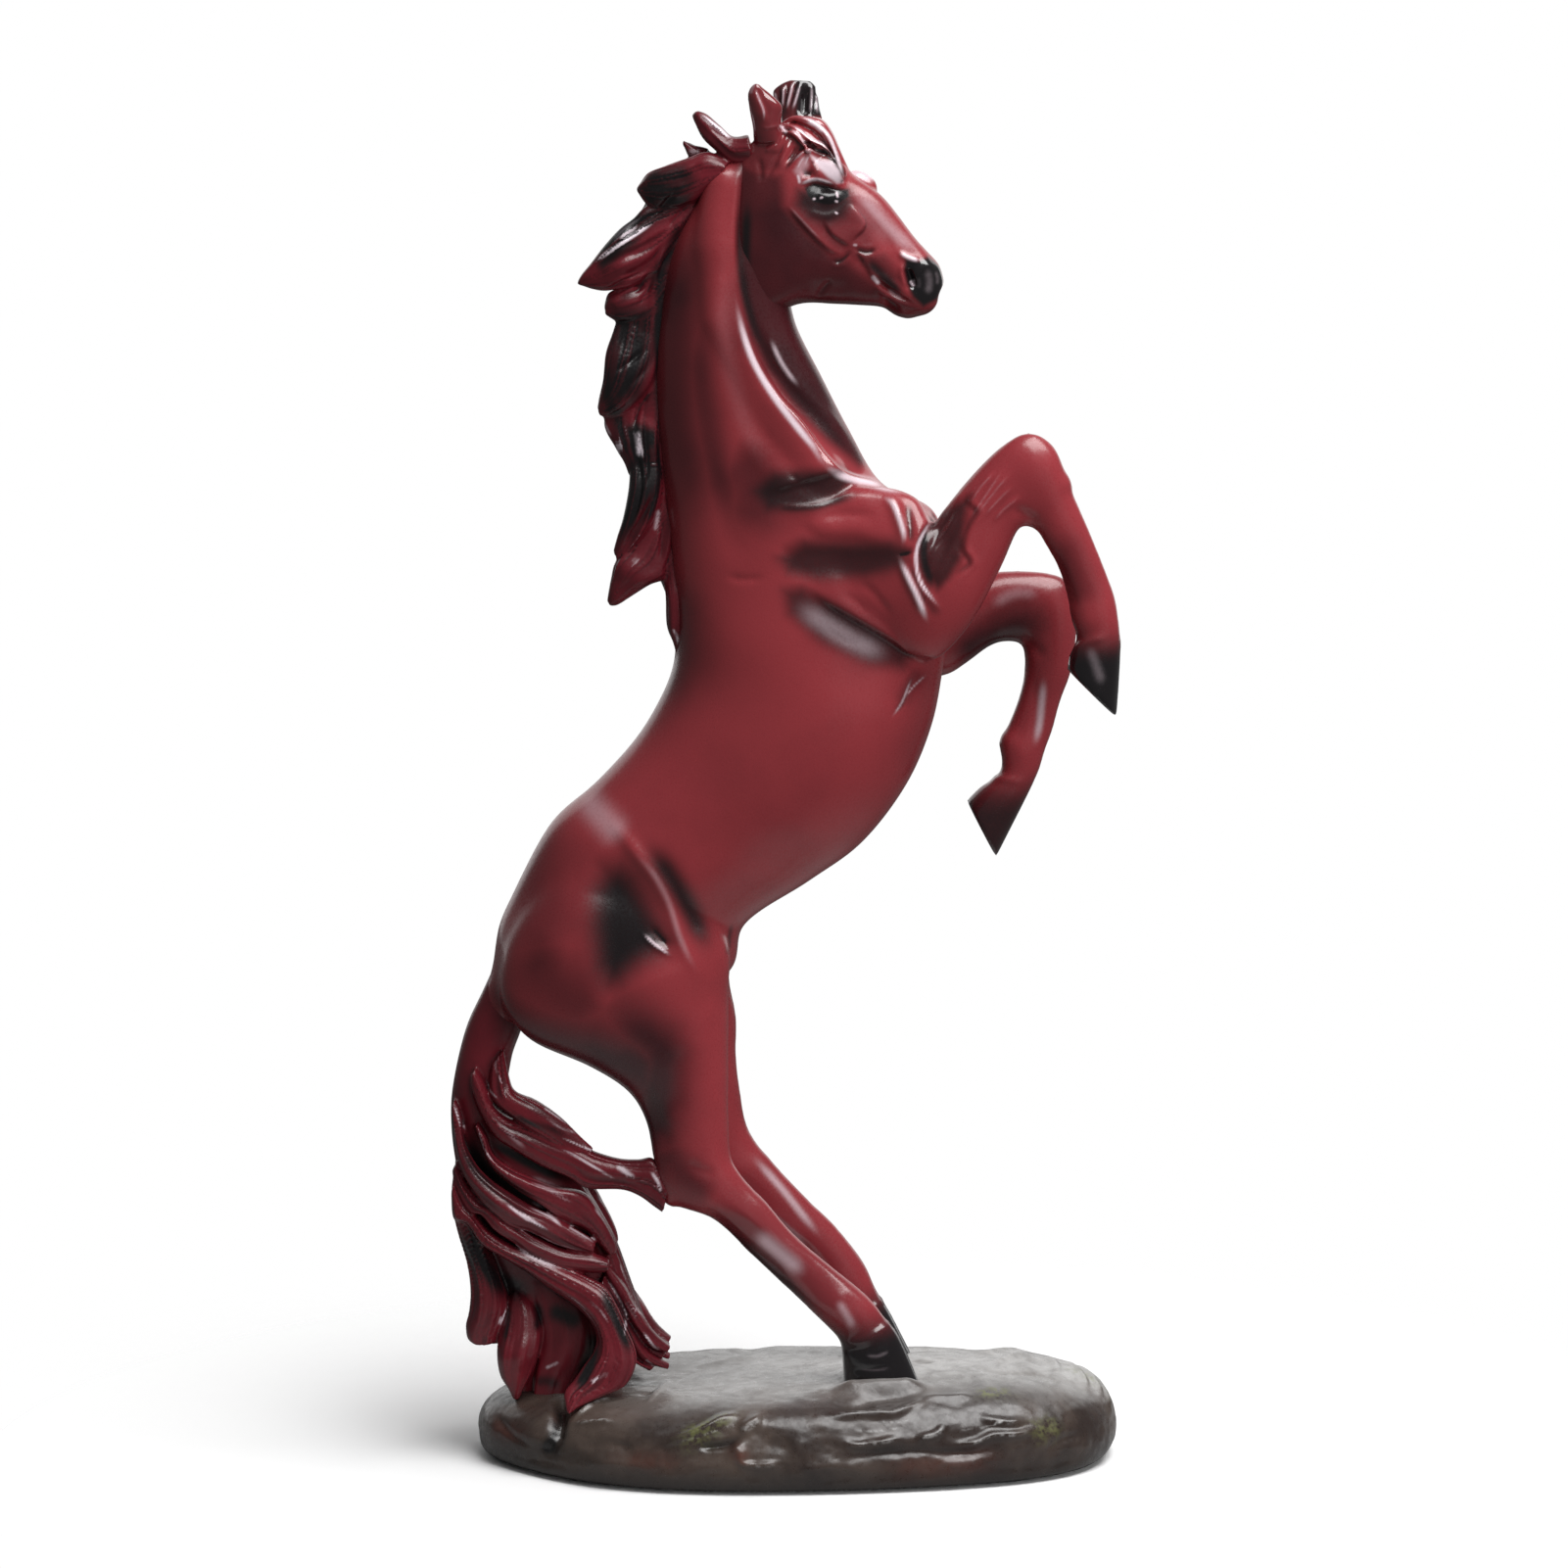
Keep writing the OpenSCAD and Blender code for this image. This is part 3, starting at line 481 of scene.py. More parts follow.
def rockMaterial():
    n = Nodes("rock_paint")
    cloud = n.noise(rockLook["cloud"], 6, 0.6, 0.6)
    grain = n.noise(rockLook["grain"], 6, 0.65)
    streak = n.noise(rockLook["streak"], 5, 0.6, 1.5)
    relief = n.layer("relief")
    colour = n.mix(n.span(cloud, 0.35, 0.65, 0, 1), rockLook["stone"], rockLook["dark"])
    # Painted sheen on the top, where the rock faces up
    crown = n.calc("MULTIPLY", n.layer("crown"), n.span(streak, 0.3, 0.62, 0.5, 1))
    colour = n.mix(crown, colour, rockLook["crown"])
    # Creases are darker: painted shade.
    colour = n.mix(n.span(relief, -0.04, -0.4, 0, 0.85), colour, rockLook["dark"])
    earth = n.calc("MULTIPLY", n.layer("earth"), n.span(streak, 0.35, 0.6, 0.3, 1))
    colour = n.mix(n.calc("MINIMUM", earth, 1.0), colour, rockLook["earth"])
    moss = n.calc("MULTIPLY", n.layer("moss"), n.span(grain, 0.42, 0.6, 0, 0.8))
    colour = n.mix(n.calc("MINIMUM", moss, 1.0), colour, rockLook["moss"])
    # Black: painted shade in the crevices and at the hoof, and darker towards the foot
    colour = n.mix(n.layer("black"), colour, rockLook["black"])
    # Painted highlights on the ridges, broken up by the grain.
    edges = n.calc("MAXIMUM", n.layer("highlight"), n.span(relief, 0.08, 0.5, 0, 0.35))
    highlightShare = n.calc("MULTIPLY", edges, n.span(grain, 0.38, 0.6, 0.3, 1.1))
    colour = n.mix(n.span(highlightShare, 0.1, 0.9, 0, 1), colour, rockLook["highlight"])
    return n.finish(Base_Color=colour, Roughness=n.span(grain, 0.35, 0.65, *rockLook["roughness"]),
                    IOR=rockLook["ior"], Coat_Weight=rockLook["clearCoat"],
                    Coat_Roughness=rockLook["clearRoughness"], Normal=n.bump(grain, *rockLook["bump"]))


coat, hair, rock = coatMaterial(), hairMaterial(), rockMaterial()
print("stage: materials made")


# Horse without its hair: torso, neck and legs

# Lines that are both carved and painted, as x and z of their points in turn
shoulderEdge = [32.5, 208.4, 29.5, 204.3, 28.1, 200.6, 28.3, 196.3, 29.9, 192.7, 33.7, 188.1]
shoulderPoint = [20.5, 212.1, 22.9, 210.9, 24.4, 207.7, 25.4, 204.1, 25.1, 201.7]
shoulderCrack = [23.6, 199.9, 25.4, 200.1, 27.4, 200.8]
chestGroove = [26.1, 199.4, 27.6, 195.7, 29.4, 191.4, 30.8, 187.5]
neckNick = [1.3, 216.7, 2.5, 216, 2.2, 214.8]
bellyCrease = [22.9, 164.8, 25.4, 167.9, 26.9, 171.7, 28.5, 174.9]
flankDimple = [-28.9, 120.3, -26.6, 117.9, -24.4, 115.6]
hollowRim = [39.4, 214.5, 38.4, 211.1, 40.6, 209, 38.7, 205.6, 37.4, 201.5, 39.4, 198.1, 36, 195.6,
             34, 192.6]
body = {
    "voxel": 0.5, "sides": 72, "legSides": 48, "steps": 8,
    "evening": 18, "lastEvening": 2, "reliefRounds": 10,
    "trunk": [
        [-68, 96, -61.5, 91, 0, 3.6, 0],
        [-65.5, 103.5, -59, 94.5, 0, 5, 0],
        [-63.4, 109.5, -55, 96, 0, 8, 0],
        [-62.5, 117.5, -43, 93, 0, 13.5, 0],
        [-60, 123, -13.5, 106, 0, 17, 0],
        [-51, 140, -8.5, 118, 0, 18, 0],
        [-41.5, 148.5, 5.5, 127.5, 0, 18, 0],
        [-33, 157.5, 17, 136, 0, 19.5, 0.05],
        [-27.5, 166, 26.5, 148.5, 0, 20.5, 0.08],
        [-24, 174.5, 32, 161.5, 0, 20.5, 0.08],
        [-23.5, 183, 34.5, 174.5, 0, 19.5, 0],
        [-24, 191.5, 36, 187, 0, 18.2, 0],
        [-25, 204, 33, 207, 0, 16, 0],
        [-26.5, 216.5, 21.5, 213.5, 0, 13.5, 0.1],
        [-27.5, 227, 14.3, 225, 0, 11.5, 0.1],
        [-28, 237.5, 7.8, 237.5, 0, 10.3, 0.1],
        [-27, 248, 2.6, 248, 0, 9.3, 0.1],
        [-25, 261, 1, 256.5, 0, 8.5, 0],
        [-21, 271, 0, 265, 0, 7.8, 0],
        [-13.5, 281.5, -1, 275.5, 0, 6.5, 0],
        [-8.5, 288, -2, 282.5, 0, 4, 0]],
    "thigh": [
        [-47, 131, -34, 134.5, -8, 5, 0],
        [-54.5, 124.5, -25.5, 132, -8.6, 8.8, 0],
        [-60, 115, -19, 126, -9, 11.6, 0],
        [-61.5, 103.5, -12, 115, -9.5, 12, 0],
        [-55.5, 94.5, -12, 104.5, -9.5, 11, 0]],
    "rightShank": [
        [-42.5, 88.5, -12, 95, -9.5, 9.5, 0],
        [-34, 83, -12, 86, -9.5, 8, 0],
        [-30, 76.5, -12, 77.5, -10, 6.6, 0],
        [-28.5, 69, -11.5, 69, -10.5, 5.6, 0],
        [-27, 62, -9.5, 65, -11, 5, 0],
        [-23.5, 58, -7, 62, -11, 4.7, 0],
        [-15.5, 55, -3.5, 58.5, -11.5, 4.1, 0],
        [-7.5, 47.5, 2, 52, -12, 3.6, 0],
        [0, 40.5, 9.5, 45.5, -12.5, 3.6, 0],
        [8, 33, 18, 38.5, -13, 4.4, 0],
        [12, 28.5, 22, 33.5, -13, 4.2, 0],
        [12.5, 25.5, 25, 29.5, -13, 5.2, 0],
        [13, 18, 30, 18, -13, 6.6, 0]],
    "leftShank": [
        [-42.5, 88.5, -10.5, 96, -9.5, 9.5, 0],
        [-34, 83, -10.5, 87, -9.5, 8, 0],
        [-29.5, 76.5, -9.5, 78.5, -10, 6.6, 0],
        [-27, 70, -8.3, 72, -10.5, 5.6, 0],
        [-24, 63, -6, 67.5, -11, 5, 0],
        [-20, 59, -3, 64, -11, 4.7, 0],
        [-12, 56.5, -1, 61.5, -11.5, 4.1, 0],
        [-4, 49.5, 5.5, 54.5, -12, 3.6, 0],
        [2.5, 43, 11.5, 48.5, -12.5, 3.6, 0],
        [8.5, 36, 17.5, 40.5, -13, 4.4, 0],
        [12, 30.5, 20.5, 34, -13, 4.2, 0],
        [13, 27, 23.5, 29, -13, 5.2, 0],
        [13.5, 18, 29, 18, -13, 6.6, 0]],
    "rightFore": [
        [2, 194, 2, 206, -9, 5, 0],
        [9, 188.5, 8, 212, -10.2, 6, 0],
        [16, 184.5, 14.5, 213.5, -11, 6.8, 0],
        [24, 180, 22, 214, -11.5, 8, 0],
        [31.5, 176.5, 28.5, 211.5, -12, 8, 0],
        [39.5, 184, 31.5, 206, -12.5, 7.4, 0],
        [46, 196, 33.5, 208.5, -13, 6.4, 0],
        [49, 203, 39.5, 216, -13.3, 5.6, 0],
        [50.5, 205.5, 46, 222.5, -13.5, 5.2, 0],
        [52, 205.5, 52, 225.5, -13.5, 5, 0],
        [54, 204.5, 57.5, 222.5, -13.5, 4.8, 0],
        [55.5, 202, 61, 214, -13.5, 4.2, 0],
        [58.5, 196.5, 65, 205, -13.5, 3.6, 0],
        [60.5, 190, 68.5, 196.5, -13.5, 3.6, 0],
        [61.5, 185, 70.8, 190, -13.5, 4.1, 0],
        [62.5, 181.5, 71.8, 183, -13.5, 3.9, 0],
        [61, 178, 72, 179.5, -13.5, 4.8, 0],
        [60.5, 175, 71.2, 164.5, -13.5, 5.6, 0]],
    "leftFore": [
        [12, 182, 12, 198, 10, 6, 0],
        [20, 175.5, 19.5, 197, 10.8, 6.6, 0],
        [27.5, 171, 27.5, 194, 11.5, 8, 0],
        [35, 171, 39.5, 191, 12, 7.2, 0],
        [39.5, 173.5, 44.5, 193.5, 12, 6.2, 0],
        [45, 177.5, 51, 194, 12, 5.4, 0],
        [49, 178.5, 57.5, 193.5, 12, 5, 0],
        [52, 177.5, 62, 191.5, 12, 4.9, 0],
        [52.5, 173, 64, 184.5, 12, 4.7, 0],
        [52, 169, 63, 173, 12, 4.1, 0],
        [50.5, 164, 60.5, 165.5, 12, 3.6, 0],
        [48.5, 159, 58.8, 159, 12, 3.6, 0],
        [47.5, 155, 57.3, 155, 12, 4, 0],
        [47.5, 150.5, 56, 150.5, 12, 3.7, 0],
        [45.5, 148, 54.5, 147, 12, 4, 0],
        [43, 146.5, 53, 144, 12, 4.6, 0],
        [40, 143.5, 46.5, 131, 12, 5.4, 0]],
    # Muscles and bones of both sides: two ends and their radii
    "muscles": [
        [[-6, -4.6, 222], [8, -7.6, 204], 8, 9.5],
        [[-13, -2, 278], [-14.5, -3, 264], 4.6, 6],
        [[-14.5, -3, 264], [-13, -3.8, 249], 6, 6.6],
        [[-13, -3.8, 249], [-6.4, -5, 234], 6.6, 6.6],
        [[-6.4, -5, 234], [8, -7.6, 215], 6.6, 7],
        [[27, -5.5, 203], [30, -6, 192], 6.5, 7]],
    # Knees, fetlocks and hocks
    "bones": [
        [[53, -13.5, 219], [57.5, -13.5, 214], 4.6, 4],
        [[65, -13.5, 188], [65.5, -13.5, 186], 4.2, 4.2],
        [[58, 12, 187], [60, 12, 181], 4.6, 4],
        [[51, 12, 156], [51.5, 12, 154], 4.1, 4.1],
        [[-24, -11, 60], [-21, -11, 67], 2.6, 3.2],
        [[12, -13, 37], [13.5, -13, 35], 4.6, 4.6],
        [[-21, 11, 62], [-18, 11, 69], 2.6, 3.2],
        [[12.5, 13, 39], [13.5, 13, 37], 4.6, 4.6]],
    # Places that are evened out further: centre, radius, rounds
    "blends": [
        [[-42, 0, 126], 32, 110],
        [[-58, 0, 108], 20, 90],
        [[8, 0, 200], 30, 60],
        [[22, 0, 183], 18, 40]],
    # Hooves keep their edges and are polished: shares, then centre and radius
    "hoofShare": 0.75, "hoofShine": 0.7,
    "hooves": [
        [[21, -13, 21], 13], [[21, 13, 21], 13], [[66, -13.5, 173], 12], [[46.5, 12, 139], 13]],
    # Steps and lines worked into the skin: line, height above the skin, width
    "folds": [
        # Edge of the neck beside the throat
        [[-10.4, 262, -9.6, 254, -8, 247.5, -5.4, 240.5, -1, 233.5, 4, 228, 9, 221, 13, 217, 20, 214.6,
          27, 212], -1.2, 1.1],
        [[-8.6, 284, -9.6, 275, -10.2, 266, -10, 258], -0.8, 1],
        # Fold over the elbow
        [[4.5, 193.2, 7.7, 190.5, 10.9, 188.4, 17.3, 184.6, 23, 181.1, 27.3, 178.3,
          34.5, 177.3], 1, 0.75],
        # Upper edge of the shoulder and the strip below it
        [[-4.4, 212.2, 1.6, 214.3, 6.6, 215.7, 10.9, 216.8, 15, 216.4], 0.6, 0.7],
        [[-3.3, 210.8, 3.1, 210.3, 8.7, 210.8, 14.4, 213.1, 19, 213.6], -0.28, 0.8],
        # Edge between the shoulder and the forearm
        [shoulderEdge, -0.7, 0.55]],
    "hollows": [
        [[-38.8, 132, -35.2, 133.2, -31.7, 131.1, -28.2, 125.7, -25.2, 120.4, -24.1, 116.8, -25.3, 114.1,
          -30, 112.6, -34.7, 110.2, -37.7, 107.5, -39.4, 112.3, -40, 120.1, -40, 127.2], -1.7, 4.6],
        [[0.2, 200.6, 5.9, 201.7, 15.9, 201.3, 24.4, 200.6, 24.7, 198.1, 20.1, 196.3, 10.9, 195.9,
          4.5, 194.9, 0.9, 196.3], -0.7, 2.4]],
    # Rough hollow on the inside of the forearm and the tufts above it, with painted highlights on the tufts:
    # strength and width of their marks
    "hollowBlack": (0.75, 1.6), "tuftRidge": (0.45, 0.45), "tuftHighlight": (0.25, 0.3),
    "forearmHollow": [
        [[31.9, 208.4, 37.5, 211.4, 39.8, 212.6, 38.7, 207.4, 38.4, 201.9, 37.8, 198.7, 35.1, 194.4,
          32.4, 192, 29.6, 196.3, 28.9, 200.6, 29.6, 205], -0.5, 1]],
    # Neck, then shoulder: strips of muscle, the crack under the point of the shoulder, upper arm
    "neckLines": [
        [[-13, 277.5, -15.5, 269.5, -16.5, 255, -16, 240.5, -13.5, 227.5], 0.5, 4],
        [[-12, 262, -12, 248, -8.4, 236, -2, 227, 5, 220], -0.35, 2.4],
        [[-3.4, 247, -0.5, 239.5, 3.5, 234, 9.5, 228, 15, 221.4], 0.7, 1.3],
        [[-7, 249, -3.6, 241, 1, 235.6, 6, 230.4, 12, 224], -0.7, 1.3],
        [neckNick, -0.4, 0.5],
        # Strips of muscle
        [[3.4, 208.2, 7.3, 210.3, 10.9, 211.4, 17.3, 212.4, 20.8, 212.1], 0.25, 1.6],
        [[2.7, 207, 7.3, 203.4, 15.9, 202.6, 20.8, 201.8], -0.4, 1.4],
        [[5.2, 207, 11.6, 208.4, 20.1, 208], -0.3, 1.1],
        [[7, 205, 13, 205.4, 20.5, 205], 0.15, 1.5],
        # Point of the shoulder, the crack under it and the ridges below
        [shoulderPoint, 0.9, 1.2],
        [[26.1, 212, 26.6, 206.3, 26.9, 201.3], -0.6, 1],
        [shoulderCrack, -0.7, 0.55],
        [[24.4, 199.4, 26.4, 195, 28.3, 191, 30.1, 186.4], 0.9, 0.9],
        [chestGroove, -0.7, 0.7],
        # Upper arm
        [[6, 194.6, 14.5, 192, 23, 186.6], 0.6, 3.4], [[15.9, 194.2, 19.4, 191.4, 23, 186.4], -0.35, 0.9],
        [[12, 192, 15.4, 189.6, 18.4, 186.6], -0.25, 0.8],
        [bellyCrease, -0.4, 0.6],
        [[31.5, 173.5, 29, 171.5, 27, 169], -0.25, 0.6], [[8, 184.6, 13, 181.6, 17, 180.6], -0.3, 0.7],
        [[-12.6, 194.9, -8.3, 194.4, -4.1, 194.9], -0.3, 0.7],
        [[-15.5, 218, -11.5, 205.5, -7.5, 196], -0.4, 4]],
    "forearmLines": [
        [hollowRim, -0.4, 0.6],
        [[40.4, 214.5, 39.4, 211.3, 41.8, 209.2, 39.8, 205.4, 38.5, 201.6, 40.5, 198, 37, 195], 0.4, 0.5],
        [[29.8, 200.6, 31.6, 204.2, 33.8, 207.4], 0.35, 0.45],
        [[30.1, 199, 32, 203, 34.6, 206.8, 36.6, 210], -0.3, 0.4],
        [[30.3, 197.2, 32.5, 201.4, 35.3, 205.6, 37.5, 209.4], 0.4, 0.42],
        [[30.8, 195.6, 33.4, 200, 36, 204.2], -0.3, 0.4],
        [[31.3, 194, 34.1, 198.2, 36.6, 202.6], 0.4, 0.42],
        [[32.6, 192.2, 34.6, 195, 36.6, 198.4], 0.35, 0.42],
        [[38.5, 193, 41.5, 201, 45.5, 209.5, 48.5, 216], -0.4, 1.6],
        [[52, 222, 53, 220], 0.5, 5],
        [[50, 209, 52.5, 207.5], -0.5, 1.2], [[57, 201, 60.5, 193, 62.5, 186.5], -0.4, 1.2],
        [[60.5, 178.5, 64.5, 181, 69.5, 182.5], 0.5, 0.8]],
    "forearmTufts": [
        [38.9, 206.7, 42.4, 212, 46.7, 218.4], [40.3, 207.6, 44.2, 212.8, 48.3, 217.7],
        [42.1, 207.6, 44.9, 211, 48.8, 214.9], [44.2, 206.7, 46.7, 209.6, 50.2, 212.4],
        [39.2, 210.3, 41.7, 214.2, 44.9, 217.7]],
    "farForeLines": [
        [[54.5, 171.5, 55, 163, 53.5, 155.5], -0.4, 1.2],
        [[52.5, 179, 55.5, 176.5], -0.4, 1.2], [[42.5, 147.5, 47.5, 148.5, 52.5, 148], 0.5, 0.8],
        [[42.5, 180, 49, 185.5, 55, 188.5], -0.35, 2]],
    "flankLines": [
        # Ridge from the hip to the stifle, the strip in front of it and the groove behind
        [[-38.5, 143.4, -34, 138.8, -31.1, 135.2, -27.6, 130.8, -24.6, 124.8, -22.3, 117.7, -19.4, 111.7,
          -16.7, 108.4], 0.8, 1.5],
        [[-30.2, 137.8, -28.2, 135.6, -25.2, 132, -21.7, 126.3, -18.7, 120.3, -16.4, 116], -0.7, 2.4],
        [flankDimple, -0.6, 0.6],
        [[-30.3, 118.7, -27.6, 116.2, -24.1, 113.8], 0.5, 0.65],
        # Thigh, buttock and gaskin
        [[-52.4, 120.1, -48.8, 115.4, -45.3, 113], 0.4, 4],
        [[-21, 96, -23, 85.5, -23.5, 77], -0.5, 2.5], [[-30.5, 85.5, -27, 77, -25, 69.5], -0.5, 1.8]],
    "hindLines": [
        [[-21, 68.5, -18, 66.5, -14, 65.5], -0.4, 1.2],
        [[-13, 60, -6.5, 55.5, -0.5, 50.5, 6.5, 44.5], 0.5, 1.4],
        [[-18, 59, -10.5, 52, -2, 45, 3, 40], -0.6, 1.2],
        [[9, 37, 10.5, 35.5], 0.4, 3],
        [[12, 28, 17, 29.5, 22, 32, 25, 34], 0.4, 0.8],
        [[13.4, 27, 18, 27.6, 23, 29.6], -0.25, 0.6],
        [[14, 23, 19, 23.4, 25, 24.4], -0.2, 0.5]],
    # Airbrushed black, with painted shade in the groove behind the jaw and on the throat: line or outline,
    # strength, width
    "black": [
        [[-4.4, 212, 1.6, 214.1, 6.6, 215.5, 10.9, 216.6], 0.75, 0.7],
        [[-6, 210.4, -1, 209.8, 5, 209.8, 10, 211, 18, 213.4], 0.8, 1.3],
        [neckNick, 0.6, 0.5],
        [[26.2, 211.6, 26.7, 206.3, 27, 201.3], 0.65, 0.9],
        [shoulderCrack, 0.95, 0.6],
        [chestGroove, 0.7, 0.6],
        [[4.5, 192.9, 7.7, 190.2, 10.9, 188.1, 17.3, 184.3, 23, 180.8, 27.3, 178], 0.75, 0.7],
        [bellyCrease, 0.6, 0.8],
        [[24, 166, 27, 171, 30, 176], 0.45, 2.6],
        [[-31.4, 139.6, -28.2, 135.6, -25.2, 131.8, -21.7, 126.2, -18.7, 120.2, -14.6, 112], 0.85, 2.9],
        [flankDimple, 0.95, 0.8],
        [[-11.1, 120.3, -11.8, 116.1, -12.2, 111.9], 0.6, 0.7],
        [[-40, 110, -29, 101, -18, 92], 0.3, 7],
        [[-18, 58, -10, 50.6, -2, 43.6, 4, 38.4, 10, 32], 0.7, 1.6],
        # Painted shade in the groove behind the jaw and on the throat below the edge of the neck
        [[-8.6, 281, -9.4, 270, -9, 259, -6.4, 248, -1.4, 238], 0.75, 1.2],
        [[-2, 238, 3.4, 232.4, 10, 225.4, 16, 219], 0.5, 1.4],
        [[-4, 250, 0, 242, 7, 231, 14, 222], 0.4, 3]],
    "blackPatches": [
        [[-6.6, 213.1, -2.6, 217.4, 4, 218.1, 12.1, 218.1, 15.6, 215.2, 12.4, 211.6, 4.8, 208.6,
          -3.8, 208.8], 0.8, 2.4],
        [[-1.8, 199.2, 4, 203.2, 14, 203.2, 22.7, 203.4, 27, 201.3, 25.4, 196.6, 17.7, 194.4, 7.1, 193.8,
          0.4, 195.4], 0.78, 3],
        [[-0.6, 192.5, 4, 193.8, 14, 187.4, 24, 181.2, 27.9, 178, 25.6, 174.4, 17.8, 176.2, 8, 180.8,
          0.4, 187], 0.7, 2.8],
        [[-38.8, 132, -35.2, 133.2, -31.7, 131.1, -28.2, 125.7, -25.2, 120.4, -24.1, 116.8, -25.3, 114.1,
          -30, 111.6, -34.7, 107.6, -38, 107.4, -41, 111.3, -42, 120.1, -41.6, 128], 0.95, 6]],
    "forearmBlack": [
        [hollowRim, 0.5, 0.8],
        [[31.4, 208, 30, 203.4, 29.8, 199, 31, 195, 33, 191], 0.95, 1.7],
        [[29, 196, 31, 190, 34, 186], 0.5, 1.4]],
    # Black hooves: z where the paint starts and is full, its tilt about an x, least x, depths, strength
    "hoofBlack": [
        [39, 25, 0.25, 15, 6, wholeDepth, 1],
        [189, 175, 0, 0, 58, (-60, 0), 1],
        [156, 140, 0, 0, 36, farDepth, 0.85]],
    # Darker red in the shade of the form
    "deep": [
        [[-18, 276, -21, 262, -23, 248, -23, 230, -20, 213, -17, 198], 0.85, 6.5],
        [[-8, 262, -9, 250, -6, 240], 0.5, 4],
        [[-12, 224, -6, 214, -8, 202], 0.75, 7],
        [[-17.1, 258, -17.5, 234.4, -13, 213.6, -7.4, 199], 0.75, 4],
        [[-22, 196, -24, 180, -27, 164], 0.6, 6], [[-54, 148, -55, 136, -53, 122, -48, 108], 0.5, 10],
        [[-58, 118, -48, 107, -36, 100], 0.7, 8],
        [[-42, 106, -33, 99, -26.4, 93, -26.6, 84, -27.4, 75, -23.6, 64], 0.95, 6],
        [[-28, 74, -22, 66, -14, 58], 0.7, 4.5],
        [[24, 150, 31, 165, 34, 180], 0.3, 6], [[34, 174, 42, 178, 52, 182, 56, 178], 0.9, 5.5],
        [[58, 206, 62, 196, 66, 187], 0.5, 4], [[-20, 66, -8, 54, 4, 43, 14, 35, 20, 28], 0.5, 6],
        [[-14, 55, -3, 45.4, 6, 36.6], 0.7, 2.4],
        [[4, 190, 14, 185, 24, 178], 0.5, 6]],
    "deepPatches": [
        [[-9.6, 284, -2, 284, 4, 252, 8, 240, 16, 226, 20, 219, 16, 217.6, 9, 223.6, 2, 230.6, -4, 238.4,
          -7.4, 246, -9.6, 256], 0.95, 1.6],
        [[-62, 103.2, -50.1, 101.5, -39.5, 100.6, -30, 97.9, -24, 92, -27, 80, -36, 84,
          -58, 92], 0.9, 8]],
    # Painted highlights on raised edges, and painted sheen on broad forms
    "highlight": [
        [[-10.4, 254.6, -8.9, 247.4, -6.3, 240.2, -2, 233, 3.4, 226, 6.1, 222.7, 8.1, 219.5,
          10.9, 217], 1, 0.75],
        [[8.1, 219.5, 11.2, 216.9, 15.9, 215.2, 21.6, 213.9, 26.8, 212.6], 0.85, 0.9],
        [[-3.2, 246, -0.4, 239.8, 3.6, 234.4], 0.6, 0.6],
        [shoulderPoint, 0.85, 0.65],
        [[24.2, 200, 26.4, 195, 28.3, 191, 30.7, 185], 0.95, 0.7],
        [shoulderEdge, 0.95, 0.4],
        [[-45, 148.4, -38.6, 142.6, -33, 137.4], 0.38, 4.2],
        [[-12.1, 265, -13, 248.8, -8.4, 228.1, -0.1, 212.5], 0.16, 3],
        [[64.4, 181.4, 66.3, 176.6, 68.2, 171], 0.25, 1.5],
        [[-34, 138.8, -31.1, 135.2, -27.6, 130.8, -24.6, 124.8, -22.3, 117.7, -19.4, 111.7,
          -16.7, 108.4], 0.3, 0.9],
        [[-30.3, 118.9, -28.6, 117.2, -27, 115.9, -24.1, 113.9], 1, 0.34],
        [[0, 191, 8, 185.6, 16, 180.8, 25, 177], 0.34, 3],
        [[22.6, 164.4, 25, 167.6, 26.5, 171, 27.6, 173.6], 0.5, 0.3],
        [[25.6, 168.6, 28, 171.4, 31, 173.6], 0.5, 0.25],
        [[-7.6, 54, -3, 50, 0.8, 46.8, 5.4, 42.6], 0.5, 2.2],
        [[11, 39, 13, 36, 14.4, 33.4, 15, 31], 0.4, 1.2], [[17, 26.6, 20, 26.2, 23.4, 27.4], 0.25, 0.5],
        [[15, 23.6, 19, 23.2, 24, 23.8], 0.2, 0.4]],
    # Painted highlights on the far legs
    "farLegHighlight": [
        [[56.6, 172, 56.2, 166, 55.6, 160, 54.4, 155], 0.6, 1],
        [[-8.3, 66.6, -5.3, 63.3, -0.1, 57.2, 3.8, 52.1, 9, 45.6], 0.55, 1],
        [[44, 186, 50, 189.4, 57, 189], 0.3, 1.8]],
    # Polished places
    "shine": [
        [[-10.4, 262, -8, 247.5, -1, 233.5, 9, 221, 20, 214.6, 28, 211], 0.9, 3],
        [[23, 213, 26, 200, 31, 186], 0.8, 3], [[-38, 143, -26, 126, -17.5, 110], 0.5, 4],
        [[-18, 64, -6, 53, 6, 42, 16, 30], 0.7, 6]],
}


def zone(points, centre, radius):
    return softStep(radius, radius * 0.45, np.linalg.norm(points - np.array(centre, float), axis=1))


